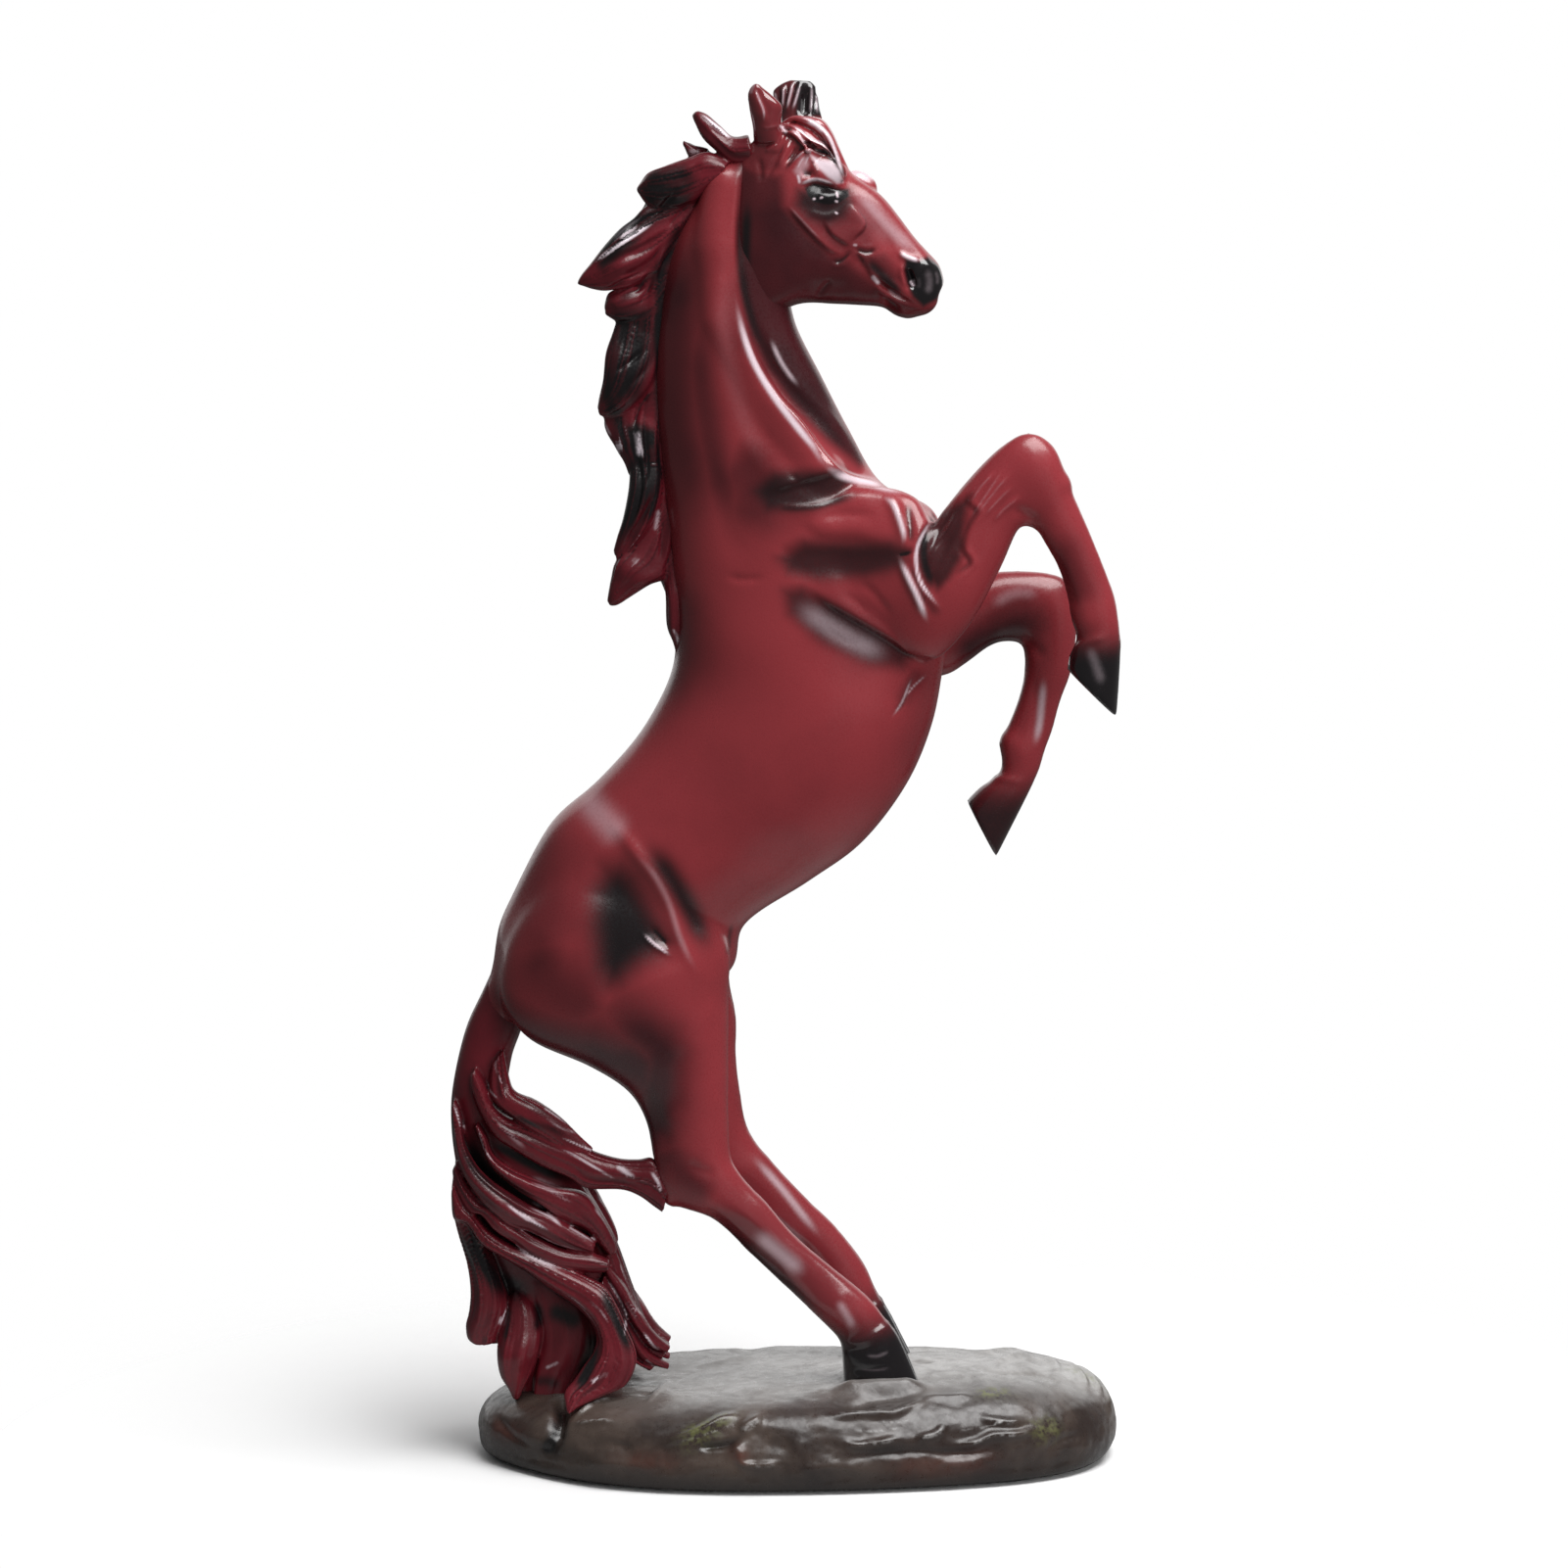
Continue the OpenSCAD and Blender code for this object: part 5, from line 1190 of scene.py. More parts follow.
# Each: size of a cell, height of the strands, locks on the near side alone, locks with calmer strands,
# stations of the core, then leaf-shaped locks: y at root, middle and tip, half thickness there,
# and rows from root to tip of both edges in x and z
mane = {
    "voxel": 0.29, "strand": 0.15, "oneSided": [1], "calm": {},
    "core": [
        [-21, 281, -6, 282, 0, 2, 0],
        [-28, 276, -12, 277, 0, 2.6, 0],
        [-33, 267.5, -16, 271, 0, 2.8, 0],
        [-35, 258.5, -20, 264, 0, 2.8, 0],
        [-35.5, 250, -23, 256, 0, 2.8, 0],
        [-36.5, 238, -24, 243, 0, 2.8, 0],
        [-35.5, 227, -24, 229.5, 0, 2.8, 0],
        [-31.4, 213, -23.5, 214.5, 0, 2.8, 0],
        [-31.5, 202, -22, 204, 0, 2.8, 0],
        [-27, 193.5, -21, 196, 0, 2.8, 0],
        [-23.6, 185, -20, 188, 0, 2, 0]],
    "leaves": [
        # Lock at the poll
        [[-2.4, -1.6, -0.5], [4.2, 2.6, 0.8], [
            [-7.6, 288.5, -6.4, 282.5], [-11, 288.1, -11, 282.1], [-13.7, 290.4, -14.9, 285.2],
            [-16.2, 292.6, -17.6, 287.9], [-18.1, 293.5, -19.1, 291], [-18.8, 293.4, -19.7, 292.5]]],
        # Small lock behind it
        [[1.5, 1.5, 1], [2.4, 1.8, 0.5], [
            [-16, 285.4, -17.7, 281.6], [-18.6, 286.1, -20.2, 283.5], [-20.4, 286.7, -21.3, 285.4],
            [-21.6, 287.3, -21.7, 286.9]]],
        # Black lock
        [[-2.5, -2.2, -0.5], [3.8, 3, 0.9], [
            [-11.4, 282.9, -15.2, 278.1], [-16.4, 284.8, -18.1, 274.8], [-21, 283.3, -22.7, 272.9],
            [-25.6, 281.7, -26.9, 272.7], [-29, 280.2, -29.4, 273.6], [-30.7, 278.2, -30.9, 275.5],
            [-31.5, 277.1, -31.5, 276.6]]],
        # Big swept lock
        [[-1, -3.4, -1], [2, 3, 0.9], [
            [-17.7, 275.7, -22.3, 267.1], [-23.5, 274.8, -24.8, 263], [-29.2, 273.3, -27.7, 258.6],
            [-32.2, 270.8, -31.5, 256.7], [-35.1, 268.6, -34.7, 255.8], [-38.4, 265, -38.2, 255.3],
            [-41.4, 261.1, -41, 255.7], [-43.4, 258.7, -42.9, 256.2], [-44.3, 257.1, -44.2, 256.5]]],
        # Dark lock below it
        [[-0.6, -1.6, -0.6], [1.4, 2.8, 1.2], [
            [-24.8, 262.5, -26.5, 254.2], [-29.9, 257.9, -28.6, 250], [-33.7, 256.7, -32, 248.3],
            [-36.2, 255.4, -35, 248.3], [-37.8, 254.5, -36.8, 249.2], [-38.5, 252, -38.3, 250.1]]],
        # Lock at the middle of the neck
        [[-0.6, -3.2, -1], [1.4, 3, 1], [
            [-34.9, 252.1, -26.3, 249.2], [-36.8, 246.2, -26.5, 242.1], [-38.2, 241.7, -28.2, 235.8],
            [-38.8, 236.2, -31.6, 231.2], [-39.8, 231.9, -36.3, 228.2], [-40.1, 230.4, -39.6, 228.5]]],
        # Plain lock under it
        [[0, -1.6, -1.6], [1.4, 2.8, 2], [
            [-35.4, 235.3, -26.4, 237.8], [-38.8, 227.3, -26.6, 230.2], [-36.5, 222.1, -26.6, 223.1],
            [-34.5, 218.9, -26.2, 216.8], [-33.4, 215.9, -26, 211.5]]],
        # Black strands
        [[-0.6, -3.8, -2], [1.2, 2.8, 0.9], [
            [-31.6, 226.1, -27.6, 227.8], [-32.9, 219.4, -26.6, 219.8], [-33.5, 212.7, -26.4, 212.3],
            [-34.7, 206.6, -28.7, 205.1], [-35.9, 202.3, -32.6, 199.8], [-36.7, 199.5, -36, 197.4]]],
        # Last big lock
        [[-0.6, -2.6, -1], [1.4, 2.8, 0.8], [
            [-28.7, 212.6, -22.4, 209.2], [-30.7, 205.9, -21.8, 200.4], [-33.4, 200.8, -24.1, 194.1],
            [-36.2, 197.2, -28.8, 192.1], [-37.2, 193.6, -32.8, 189.7], [-37.9, 190.4, -35.8, 187.7],
            [-38.2, 188.6, -37.5, 187.4]]],
        # Strip on the withers
        [[-0.8, -3, -1.6], [1.4, 2.8, 1], [
            [-27.1, 205.3, -21.2, 204.2], [-26.2, 194.7, -21, 194.1], [-25.4, 189.4, -21, 189],
            [-25.2, 183.1, -21.4, 182.6], [-24, 179.6, -21.7, 179], [-23, 176.2, -22.1, 175.7]]]],
    # Grooves: line, height above the skin, width
    "grooves": [
        [[-25.6, 267, -29.4, 264.1, -33.3, 262.5, -37.8, 260.3], -0.7, 0.6],
        [[-25.3, 265.7, -28.2, 261.9, -32, 259.4, -35.5, 258.1], -0.7, 0.6],
        [[-26.9, 262.5, -29.5, 259.7, -32.7, 257.8, -35.5, 256.6, -38.1, 255.8], -0.9, 0.6],
        [[-28.2, 259.7, -30.1, 256.8, -32.4, 254.6], -0.6, 0.6],
        [[-27.5, 258.1, -29.5, 254.6, -31.1, 252], -0.5, 0.5],
        [[-23.7, 268.9, -26.9, 266.7, -30.7, 264.5, -35.5, 262.5, -39.7, 260.3], -0.5, 0.6],
        [[-21.7, 278.4, -24, 275.3, -26.9, 272.1, -31, 269.2, -35.5, 265.7], -0.6, 0.6],
        [[-19.8, 274, -23, 270.8, -25.3, 268.3], -0.5, 0.6],
        [[-25.3, 265.8, -26.9, 261, -27.8, 256.8, -28.8, 251.7], 0.5, 0.5],
        [[-16.3, 290.5, -14.1, 288.6, -11.2, 287.3], -0.4, 0.8],
        [[-17.3, 282.9, -19.8, 280.3, -22.4, 277.2], -0.4, 0.8],
        [[-29.3, 243.3, -32.7, 240.4, -36.6, 237.6], -0.6, 0.5],
        [[-28.4, 240.9, -30.3, 237.6, -33.2, 234.7, -34.2, 230.3], -0.5, 0.6],
        [[-28.1, 234, -30.8, 230.4, -32.5, 225.6], -0.6, 0.5],
        [[-29.8, 228, -29.6, 223.7, -29.4, 217.9, -30.4, 212.1], -0.6, 0.5],
        [[-32.3, 221.7, -30.8, 216, -31.4, 209.7, -33.8, 203.4], -0.6, 0.5],
        [[-27, 213.1, -29.4, 208.2, -31.8, 204.4, -35.2, 199.1], -0.9, 0.7],
        [[-27, 208.2, -26.1, 203.3, -26.6, 196.6], -0.5, 0.6],
        [[-25.1, 209.1, -24.4, 203.3, -25.6, 196.6], 0.5, 0.6],
        [[-23.7, 207.2, -23.9, 202.4, -25.1, 196.6, -25.2, 190.3], -0.5, 0.6]],
    # Paint: line or outline, strength, width. Part of the black is painted shade, and the light strokes are
    # painted highlights.
    "black": [
        [[-28.8, 272.9, -32, 270.8, -36.5, 266.7, -41, 261.2], 0.95, 1.3],
        [[-21.7, 278.4, -24.3, 274.6, -27.5, 271.1], 0.8, 1.6],
        [[-14.1, 278.4, -17.9, 274, -21.1, 269.2, -24, 264.8], 0.7, 1.4],
        [[-25.6, 262.9, -26.9, 258.7, -27.9, 253.3], 0.7, 1.0],
        [[-30.3, 228, -30.8, 219.8, -31.8, 211.1, -35.7, 199.5], 0.95, 2.2],
        [[-28.4, 225.6, -27, 216.9, -28.5, 208.7, -32.3, 202.4], 0.95, 1.2],
        # Painted shade along the root, where the mane meets the neck
        [[-24.6, 268, -26, 258, -26.6, 248, -26.6, 238, -26.2, 226, -25.2, 212], 0.9, 1.6],
        [[-36.6, 246, -37.6, 240, -37.2, 232, -34.6, 224, -32.6, 214], 0.85, 2.4],
        [[-31, 250, -30.6, 243, -32, 236], 0.8, 2.6]],
    "blackPatches": [
        [[-31.2, 277.4, -28.1, 281.7, -21.2, 282.3, -18.1, 279.2, -22.4, 273.6, -29.3, 273.2], 0.85, 2],
        [[-40.7, 261.8, -34.4, 270.5, -28.1, 274.9, -19.3, 276.7, -19.9, 273.6, -26.8, 269.3, -34.4, 263,
          -38.8, 258.6], 0.8, 2.2],
        [[-28.1, 259.3, -23.1, 269.3, -21.2, 268.7, -25, 258.1, -26.2, 248.1, -27.5, 250.6], 0.9, 1.6],
        [[-38.2, 245.5, -36.4, 252, -27.5, 252, -27.5, 240.5, -30.7, 233, -37, 229.2,
          -38.9, 235.5], 0.8, 2.6],
        [[-35.1, 226.7, -31.4, 227.3, -27, 225.4, -25.1, 215.3, -27, 212.8, -32.1, 205.3, -35.9, 200.2,
          -34.6, 212.8, -33.3, 220.4], 0.9, 1.8]],
    "highlight": [
        [[-26.9, 270.5, -32.3, 267, -37.1, 263.8, -41.3, 260.9], 0.9, 0.5],
        [[-29.4, 271.4, -33.9, 268.6, -37.5, 264.9], 0.7, 0.5],
        [[-31, 269.8, -33.3, 267.9, -35.5, 266], 0.6, 0.8],
        [[-18.6, 293, -15.4, 290.8, -12.2, 288.6, -9.3, 287.7], 0.9, 0.6],
        [[-21.2, 283.5, -18.3, 285.4, -17.3, 285.1], 0.4, 1.2],
        [[-31.8, 226.1, -31.3, 222.2, -30.6, 218.9], 0.95, 0.8],
        [[-39.5, 228.8, -37.9, 225.5, -36.7, 223.5], 0.4, 0.4],
        [[-27, 207.8, -27.5, 204.4], 0.4, 0.7], [[-24.7, 182.9, -23.3, 181.9, -22.3, 178], 0.7, 0.4]],
}
tail = {
    "voxel": 0.3, "strand": 0.26, "oneSided": [0, 1, 12], "calm": {10: 0.5, 11: 0.2},
    "core": [
        [-62, 111, -55, 101, 0, 4, 0],
        [-65.5, 103.5, -57.5, 94, 0, 5, 0],
        [-69.5, 94.5, -59.5, 88, 0, 5.5, 0],
        [-72.4, 81.5, -59.8, 80.5, 0, 5.6, 0],
        [-72.6, 72, -54, 74, 0, 5.4, 0],
        [-71.4, 62.5, -45, 63, 0, 5.4, 0],
        [-70, 51.5, -40, 53.5, 0, 5.6, 0],
        [-65, 42.5, -36, 44.5, 0, 5.8, 0],
        [-61, 34, -33, 36, 0, 6, 0],
        [-61, 24, -33, 27, 0, 6, 0],
        [-59.5, 12, -36, 15, 0, 6, 0]],
    "leaves": [
        # Strand to the hock
        [[-5, -8, -11], [2.6, 3.2, 2.6], [
            [-67, 87.5, -68.1, 85.2], [-65, 84.2, -67.8, 82.4], [-63.2, 79.5, -65.9, 77.3],
            [-59.9, 76.6, -62.8, 72.3], [-55.1, 75, -59.1, 69.7], [-49.9, 73.1, -52.9, 66],
            [-44.4, 71, -47, 63.5], [-40.4, 69.3, -42.8, 61.2], [-35.6, 68, -35.3, 61.1],
            [-31.6, 67.9, -31.4, 59.8], [-28.3, 68.2, -28.3, 57.6], [-24.6, 63.7, -26.3, 56.3]]],
        # Upper strand
        [[-5.4, -8.6, -9.6], [2.4, 2.6, 1], [
            [-60.9, 91.3, -63.5, 87.9], [-59.5, 84.8, -63.9, 82.5], [-58, 82.2, -62.6, 79.6],
            [-53.5, 80.5, -58, 76], [-48.4, 77, -53, 72.8], [-44, 72.6, -48, 70],
            [-41.3, 70.2, -43.4, 69]]],
        # Second band
        [[-6, -9, -5.4], [1.6, 3, 2], [
            [-66.7, 75.2, -67.2, 74.3], [-64.7, 72.2, -65.8, 71], [-63.5, 68.9, -64.7, 67.6],
            [-60.9, 66.5, -62.4, 64.7], [-56.5, 64.2, -58.1, 61.2], [-50.7, 62, -53.1, 57.9],
            [-43.2, 60.1, -48.7, 54.1], [-39.4, 54.3, -43.6, 52], [-37, 49.3, -40.6, 48.6],
            [-36.4, 46.6, -38.4, 45.8]]],
        # Third band
        [[-5, -9.6, -9], [2, 3.2, 2], [
            [-71.6, 80.8, -72.1, 77.8], [-70.1, 76.5, -71.7, 71.8], [-69.1, 70.7, -70.9, 67.5],
            [-66.7, 66, -69.1, 63.2], [-63.4, 62.9, -66.2, 59.3], [-59.7, 60.4, -62.8, 56.2],
            [-55.1, 57.5, -59.3, 53.3], [-50.6, 55.5, -55.3, 52.1], [-46.3, 52.9, -50, 49.3],
            [-42.6, 50.6, -45.3, 47.6], [-41, 49.2, -41.6, 46.9]]],
        # Fourth band
        [[-5, -8.8, -8.6], [2.2, 2.8, 2.4], [
            [-71, 67, -72.2, 64.4], [-69.5, 62.9, -71.1, 60.3], [-66.5, 59.3, -68.6, 55.8],
            [-63.4, 57.4, -65.9, 55.1], [-59.9, 54.4, -63, 52.1], [-56.6, 52.1, -58.8, 49.6],
            [-53.3, 50.3, -55.2, 46.7], [-47.8, 47.8, -48.7, 43.7], [-41.6, 46.8, -41.4, 42.6],
            [-37.9, 45.3, -38.3, 43.1]]],
        # Front lock
        [[-5, -11, -21], [2.4, 3.6, 1.2], [
            [-72.1, 62.9, -72.4, 59.2], [-69.9, 58.2, -71.9, 53.9], [-67.3, 55, -69, 53],
            [-64.3, 51.7, -66, 48.7], [-59.9, 48.9, -61.5, 46.1], [-54.4, 46.8, -56.4, 43.1],
            [-47.7, 44, -50.9, 39.3], [-41.9, 41.5, -46.5, 36.5], [-38.6, 39.4, -43.6, 34],
            [-36, 35.2, -41.7, 32], [-34.2, 31.1, -40.6, 29], [-32.3, 26.9, -41.3, 26],
            [-32.1, 23.7, -43.1, 23.7], [-34.2, 19.5, -45.3, 20.7], [-39, 17.5, -47.4, 18.3],
            [-43.8, 15.6, -47.2, 15.9], [-46.3, 14.2, -46.7, 14.1]]],
        # Right strands
        [[-5, -5.6, -4.6], [2, 2.6, 1.4], [
            [-38.2, 43.6, -39.3, 41.8], [-34.8, 39, -36.2, 36.3], [-31.7, 33.5, -32.9, 30.3],
            [-28.1, 28.5, -29.5, 25.3],
            [-24.6, 25.3, -25.8, 23.9]]],
        [[-6.6, -6.6, -4.8], [2, 2.4, 1.2], [
            [-39.4, 41.3, -40, 39.5], [-36.1, 35.8, -37, 33.5], [-33, 29.9, -34.1, 28],
            [-29.5, 24.4, -31.1, 22.6],
            [-25, 21.6, -25.4, 20.1]]],
        [[-7.4, -7.4, -5], [2, 2.4, 1.2], [
            [-39.9, 39.2, -40.6, 37.9], [-37, 33.3, -38.2, 31.9], [-34.4, 27.8, -35.9, 26.9],
            [-31.9, 22.8, -33.7, 22.8],
            [-28.5, 20.7, -29.4, 19.9]]],
        # Hanging lock
        [[-2.5, -4, -4], [4, 3.8, 2], [
            [-72.5, 56.4, -65, 49.2], [-71.2, 50.5, -62.1, 41.4], [-69.4, 44.2, -60.6, 37],
            [-68.5, 37.9, -60.4, 34.1], [-68.7, 32.7, -61.1, 30.8], [-69.5, 29.6, -61.7, 27.8],
            [-69.2, 26.8, -62.1, 26.1], [-67.3, 25.6, -64.3, 25.9]]],
        # Twisted bundle beside it
        [[-3, -7.6, -7], [1.6, 4, 2], [
            [-59.5, 37.4, -57.7, 37.8], [-60.7, 33.3, -54.6, 34.7], [-62, 28.7, -53, 30.1],
            [-62.7, 24.2, -53.2, 25.5],
            [-62, 19.6, -54.6, 20.9], [-60.1, 16.4, -56.9, 16.4], [-59.2, 14.4, -57.8, 14.2]]],
        # Panel in the hollow
        [[-4, -5, -6], [2, 2.6, 2.4], [
            [-55.5, 39.7, -47.4, 39.7], [-54.2, 34.2, -43.4, 34.2], [-53.1, 28.7, -41.9, 28.7],
            [-53.6, 23.2, -42.6, 23.2],
            [-54.7, 17.7, -46.2, 16.8], [-54.9, 13.6, -47.4, 13.4]]],
        # Long lock down the right edge
        [[0, 0, 0], [3.6, 5.4, 4.4], [
            [-43.8, 60.3, -47.4, 58.3], [-41.3, 56.6, -45.6, 54], [-38.1, 50.7, -43, 48.6],
            [-36.3, 46.6, -41.3, 44.2],
            [-34.7, 42.5, -39.9, 39.6], [-32.2, 35.6, -37.8, 31.8], [-29.3, 28.5, -35, 24],
            [-25, 24.7, -28.6, 19.9]]]],
    "grooves": [],
    # Black in the channels and hollows between the locks: painted shade
    "black": [
        [[-65.2, 74.5, -63.5, 70.7, -59.5, 68.3, -55.1, 65.9, -50, 63.3, -44.5, 61.4], 1, 1.3],
        [[-69, 75.9, -67.8, 68.9, -65.1, 64.8, -61, 62.2, -55.9, 58.8, -50.1, 54.7], 1, 2.2],
        [[-63.5, 81.1, -60.2, 77.8, -55.8, 76.3, -50, 74.5, -44.5, 71.1], 0.8, 0.9],
        [[-72.8, 77.6, -72.5, 72.4, -71.4, 67.9], 0.9, 1.2],
        [[-71, 54.8, -68.5, 48.5, -64.9, 43.6, -60.5, 39.1, -55.4, 37.6, -52.4, 35.4], 1, 3],
        [[-52.4, 34.6, -48, 32.7, -43.2, 30.1], 0.9, 2.4],
        [[-41.4, 30.3, -42.1, 24.3, -45.5, 17.9], 0.95, 1.6],
        [[-55, 36.1, -53.5, 33.1, -53.9, 28.6], 0.9, 1.2],
        [[-60.1, 36.1, -60.2, 31.6, -61.3, 26.3], 0.8, 0.8],
        [[-60.3, 46.1, -55.2, 42.4, -50.1, 38.3, -44.2, 34.1], 0.9, 0.8],
        [[-40.6, 42, -37.8, 36.6, -35, 31, -32, 25], 0.95, 1.4],
        [[-55.4, 17.6, -51.7, 18.3, -48.1, 16.8], 0.7, 1.6]],
    "blackPatches": [],
    # Painted highlights along the strands
    "highlight": [
        [[-60.9, 59.4, -57.3, 56.4, -53.6, 53.8], 0.64, 0.48],
        [[-59, 58.1, -55, 55.1, -50.3, 51.9], 0.64, 0.48],
        [[-56.1, 58.1, -50.6, 55.3, -47.4, 52.5], 0.56, 0.4],
        [[-59.4, 49.2, -55, 46.7, -49.9, 44.5, -47.4, 43.6], 0.48, 0.72],
        [[-41.6, 57.5, -39, 54.1, -36.8, 50.4], 0.56, 0.4],
        [[-39.3, 41.9, -36.4, 37.4, -34.4, 32.6, -35, 28.5], 0.64, 0.36],
        [[-34.3, 35.5, -32.4, 32.5], 0.48, 0.4], [[-30.9, 29.8, -28.5, 25.7, -26.3, 24.2], 0.72, 0.4],
        [[-30, 22.7, -27.8, 20.6], 0.64, 0.32],
        [[-41.2, 20.8, -38.6, 22.3], 0.56, 0.64],
        [[-51.7, 21.2, -49.5, 22.3], 0.48, 0.48], [[-43.4, 38.2, -39.7, 35.2, -37.5, 32.2], 0.4, 0.48],
        [[-49.9, 39.3, -44.5, 36.7, -39.4, 29.9], 0.4, 0.4],
        [[-55, 52.3, -49.2, 49.3, -41.2, 47.3], 0.4, 0.28],
        [[-46.3, 52.9, -41.3, 49.9], 0.56, 0.4], [[-52.7, 78.3, -49.1, 75.4, -44.4, 73.2], 0.64, 0.36],
        [[-51.6, 79.1, -46.9, 75.8], 0.56, 0.32],
        [[-50.2, 70.6, -46.2, 69.3, -40.7, 66.3, -34.9, 62.8], 0.6, 0.36],
        [[-49.1, 73, -44.3, 71.1, -38.9, 68.5], 0.56, 0.4],
        [[-35.6, 66.5, -33, 64.6], 0.56, 0.72], [[-29.2, 66.3, -27.5, 63.9, -26.3, 60.5], 0.64, 0.48],
        [[-61.2, 91, -62.5, 88.2, -61.3, 84.9, -58.7, 82.8], 0.48, 0.36],
        [[-65.3, 85.4, -63.5, 82.3, -60.9, 80.8], 0.48, 0.32],
        [[-71.8, 80.2, -70.2, 75.4, -69.1, 72.8], 0.64, 0.4],
        [[-66.6, 75, -65, 69.8, -62.1, 66.5], 0.48, 0.28],
        [[-63.4, 77.8, -60.1, 74.1, -55, 69.3], 0.32, 0.8],
        [[-56.5, 63.9, -49.9, 60.9, -44.8, 57.2], 0.32, 0.72]],
}


# A lock between its two edges, and for each of its points the height of the strand that runs there.
def leaf(form, turn):
    ys, halves, edges = form
    u, places = np.linspace(0, 1, len(edges)), (0, 0.5, 1)
    rows = np.column_stack([edges, np.interp(u, places, ys), np.interp(u, places, halves)])
    s = refined(rows, hairForm["steps"])
    a = np.linspace(0, 2 * math.pi, hairForm["sides"], endpoint=False)
    u = np.linspace(0, 1, len(s))[:, None]
    ca, sa = np.cos(a), np.sin(a)
    rib, count, twist = hairForm["ribs"]
    ribs = 1 + rib * np.sin(count * a + twist * u + turn)
    sa = np.sign(sa) * np.abs(sa) ** hairForm["fullness"] * ribs
    rings = np.zeros((len(s), len(a), 3))
    for axis, one, other in ((0, 0, 2), (2, 1, 3)):
        middle, half = (s[:, one] + s[:, other]) / 2, (s[:, other] - s[:, one]) / 2
        rings[:, :, axis] = middle[:, None] + half[:, None] * ca
    rings[:, :, 1] = s[:, 4][:, None] + s[:, 5][:, None] * sa
    breadth = np.hypot(s[:, 2] - s[:, 0], s[:, 3] - s[:, 1]).max() / 2
    (wide, wideRate), (crowd, crowdRate), (bend, bendRate) = (
        hairForm[key] for key in ("breadths", "crowding", "bend"))
    across = (1 + wide * math.sin(wideRate * turn)) * breadth * (ca + crowd * np.sin(crowdRate * ca + turn))
    across = across + bend * np.sin(bendRate * u + turn)
    least, more, along, sideways = hairForm["rise"]
    strand = np.zeros(across.shape)
    for k, (share, size, drift) in enumerate(hairForm["strands"]):
        wave = np.sin(2 * math.pi * across / size + turn * (k + 1) + drift * u)
        strand += share * (least + more * np.sin(along * u + sideways * ca + k)) * wave
    return closedSkin(rings), strand.ravel()


# Each point of a skin takes the strand of the nearest lock.
def nearestStrand(skin, places, strands):
    tree = KDTree(len(places))
    for i, place in enumerate(places):
        tree.insert(place, i)
    tree.balance()
    found = [tree.find(point)[1:] for point in skin.points]
    closeness = softStep(hairForm["gone"], hairForm["full"], np.array([distance for _, distance in found]))
    return np.array([strands[i] for i, _ in found]) * closeness


def makeHair(name, node, form):
    parts, places, strands = [loft(form["core"], *hairForm["core"])], [], []
    for k, row in enumerate(form["leaves"]):
        part, strand = leaf(row, hairForm["turn"] * k)
        strand = strand * form["calm"].get(k, 1)
        for side in [part] if k in form["oneSided"] else [part, flipped(part)]:
            parts.append(side)
            places.append(side[0])
            strands.append(strand)
    skin = Skin(*evenSkin(parts, form["voxel"]))
    skin.smooth(hairForm["evening"])
    carve(skin, form["grooves"], "both")
    strand = nearestStrand(skin, np.concatenate(places), np.concatenate(strands))
    skin.points = skin.points + skin.normals() * (form["strand"] * strand)[:, None]
    skin.smooth(1)
    relief = skin.relief(hairForm["reliefRounds"])
    # Black in the creases: painted shade
    black = hairForm["creaseBlack"] * softStep(*hairForm["creaseRelief"], relief)
    highlight = np.zeros(len(relief))
    paint(skin, black, form["black"], "both")
    paint(skin, black, form["blackPatches"], "both", kind=patch)
    # Painted highlights
    paint(skin, highlight, form["highlight"], "near")
    black = skin.spread(black, hairForm["blackSpread"])
    layers = {"black": black, "highlight": highlight, "relief": relief, "strand": strand}
    piece = addObject(name, skinMesh(name, skin, layers))
    piece.data.materials.append(hair)
    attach(piece, "root")
    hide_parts(node)
    print("stage:", name, len(skin.points), "points")


makeHair("horse_mane", "mane", mane)
makeHair("horse_tail", "tail", tail)


# Rock plinth

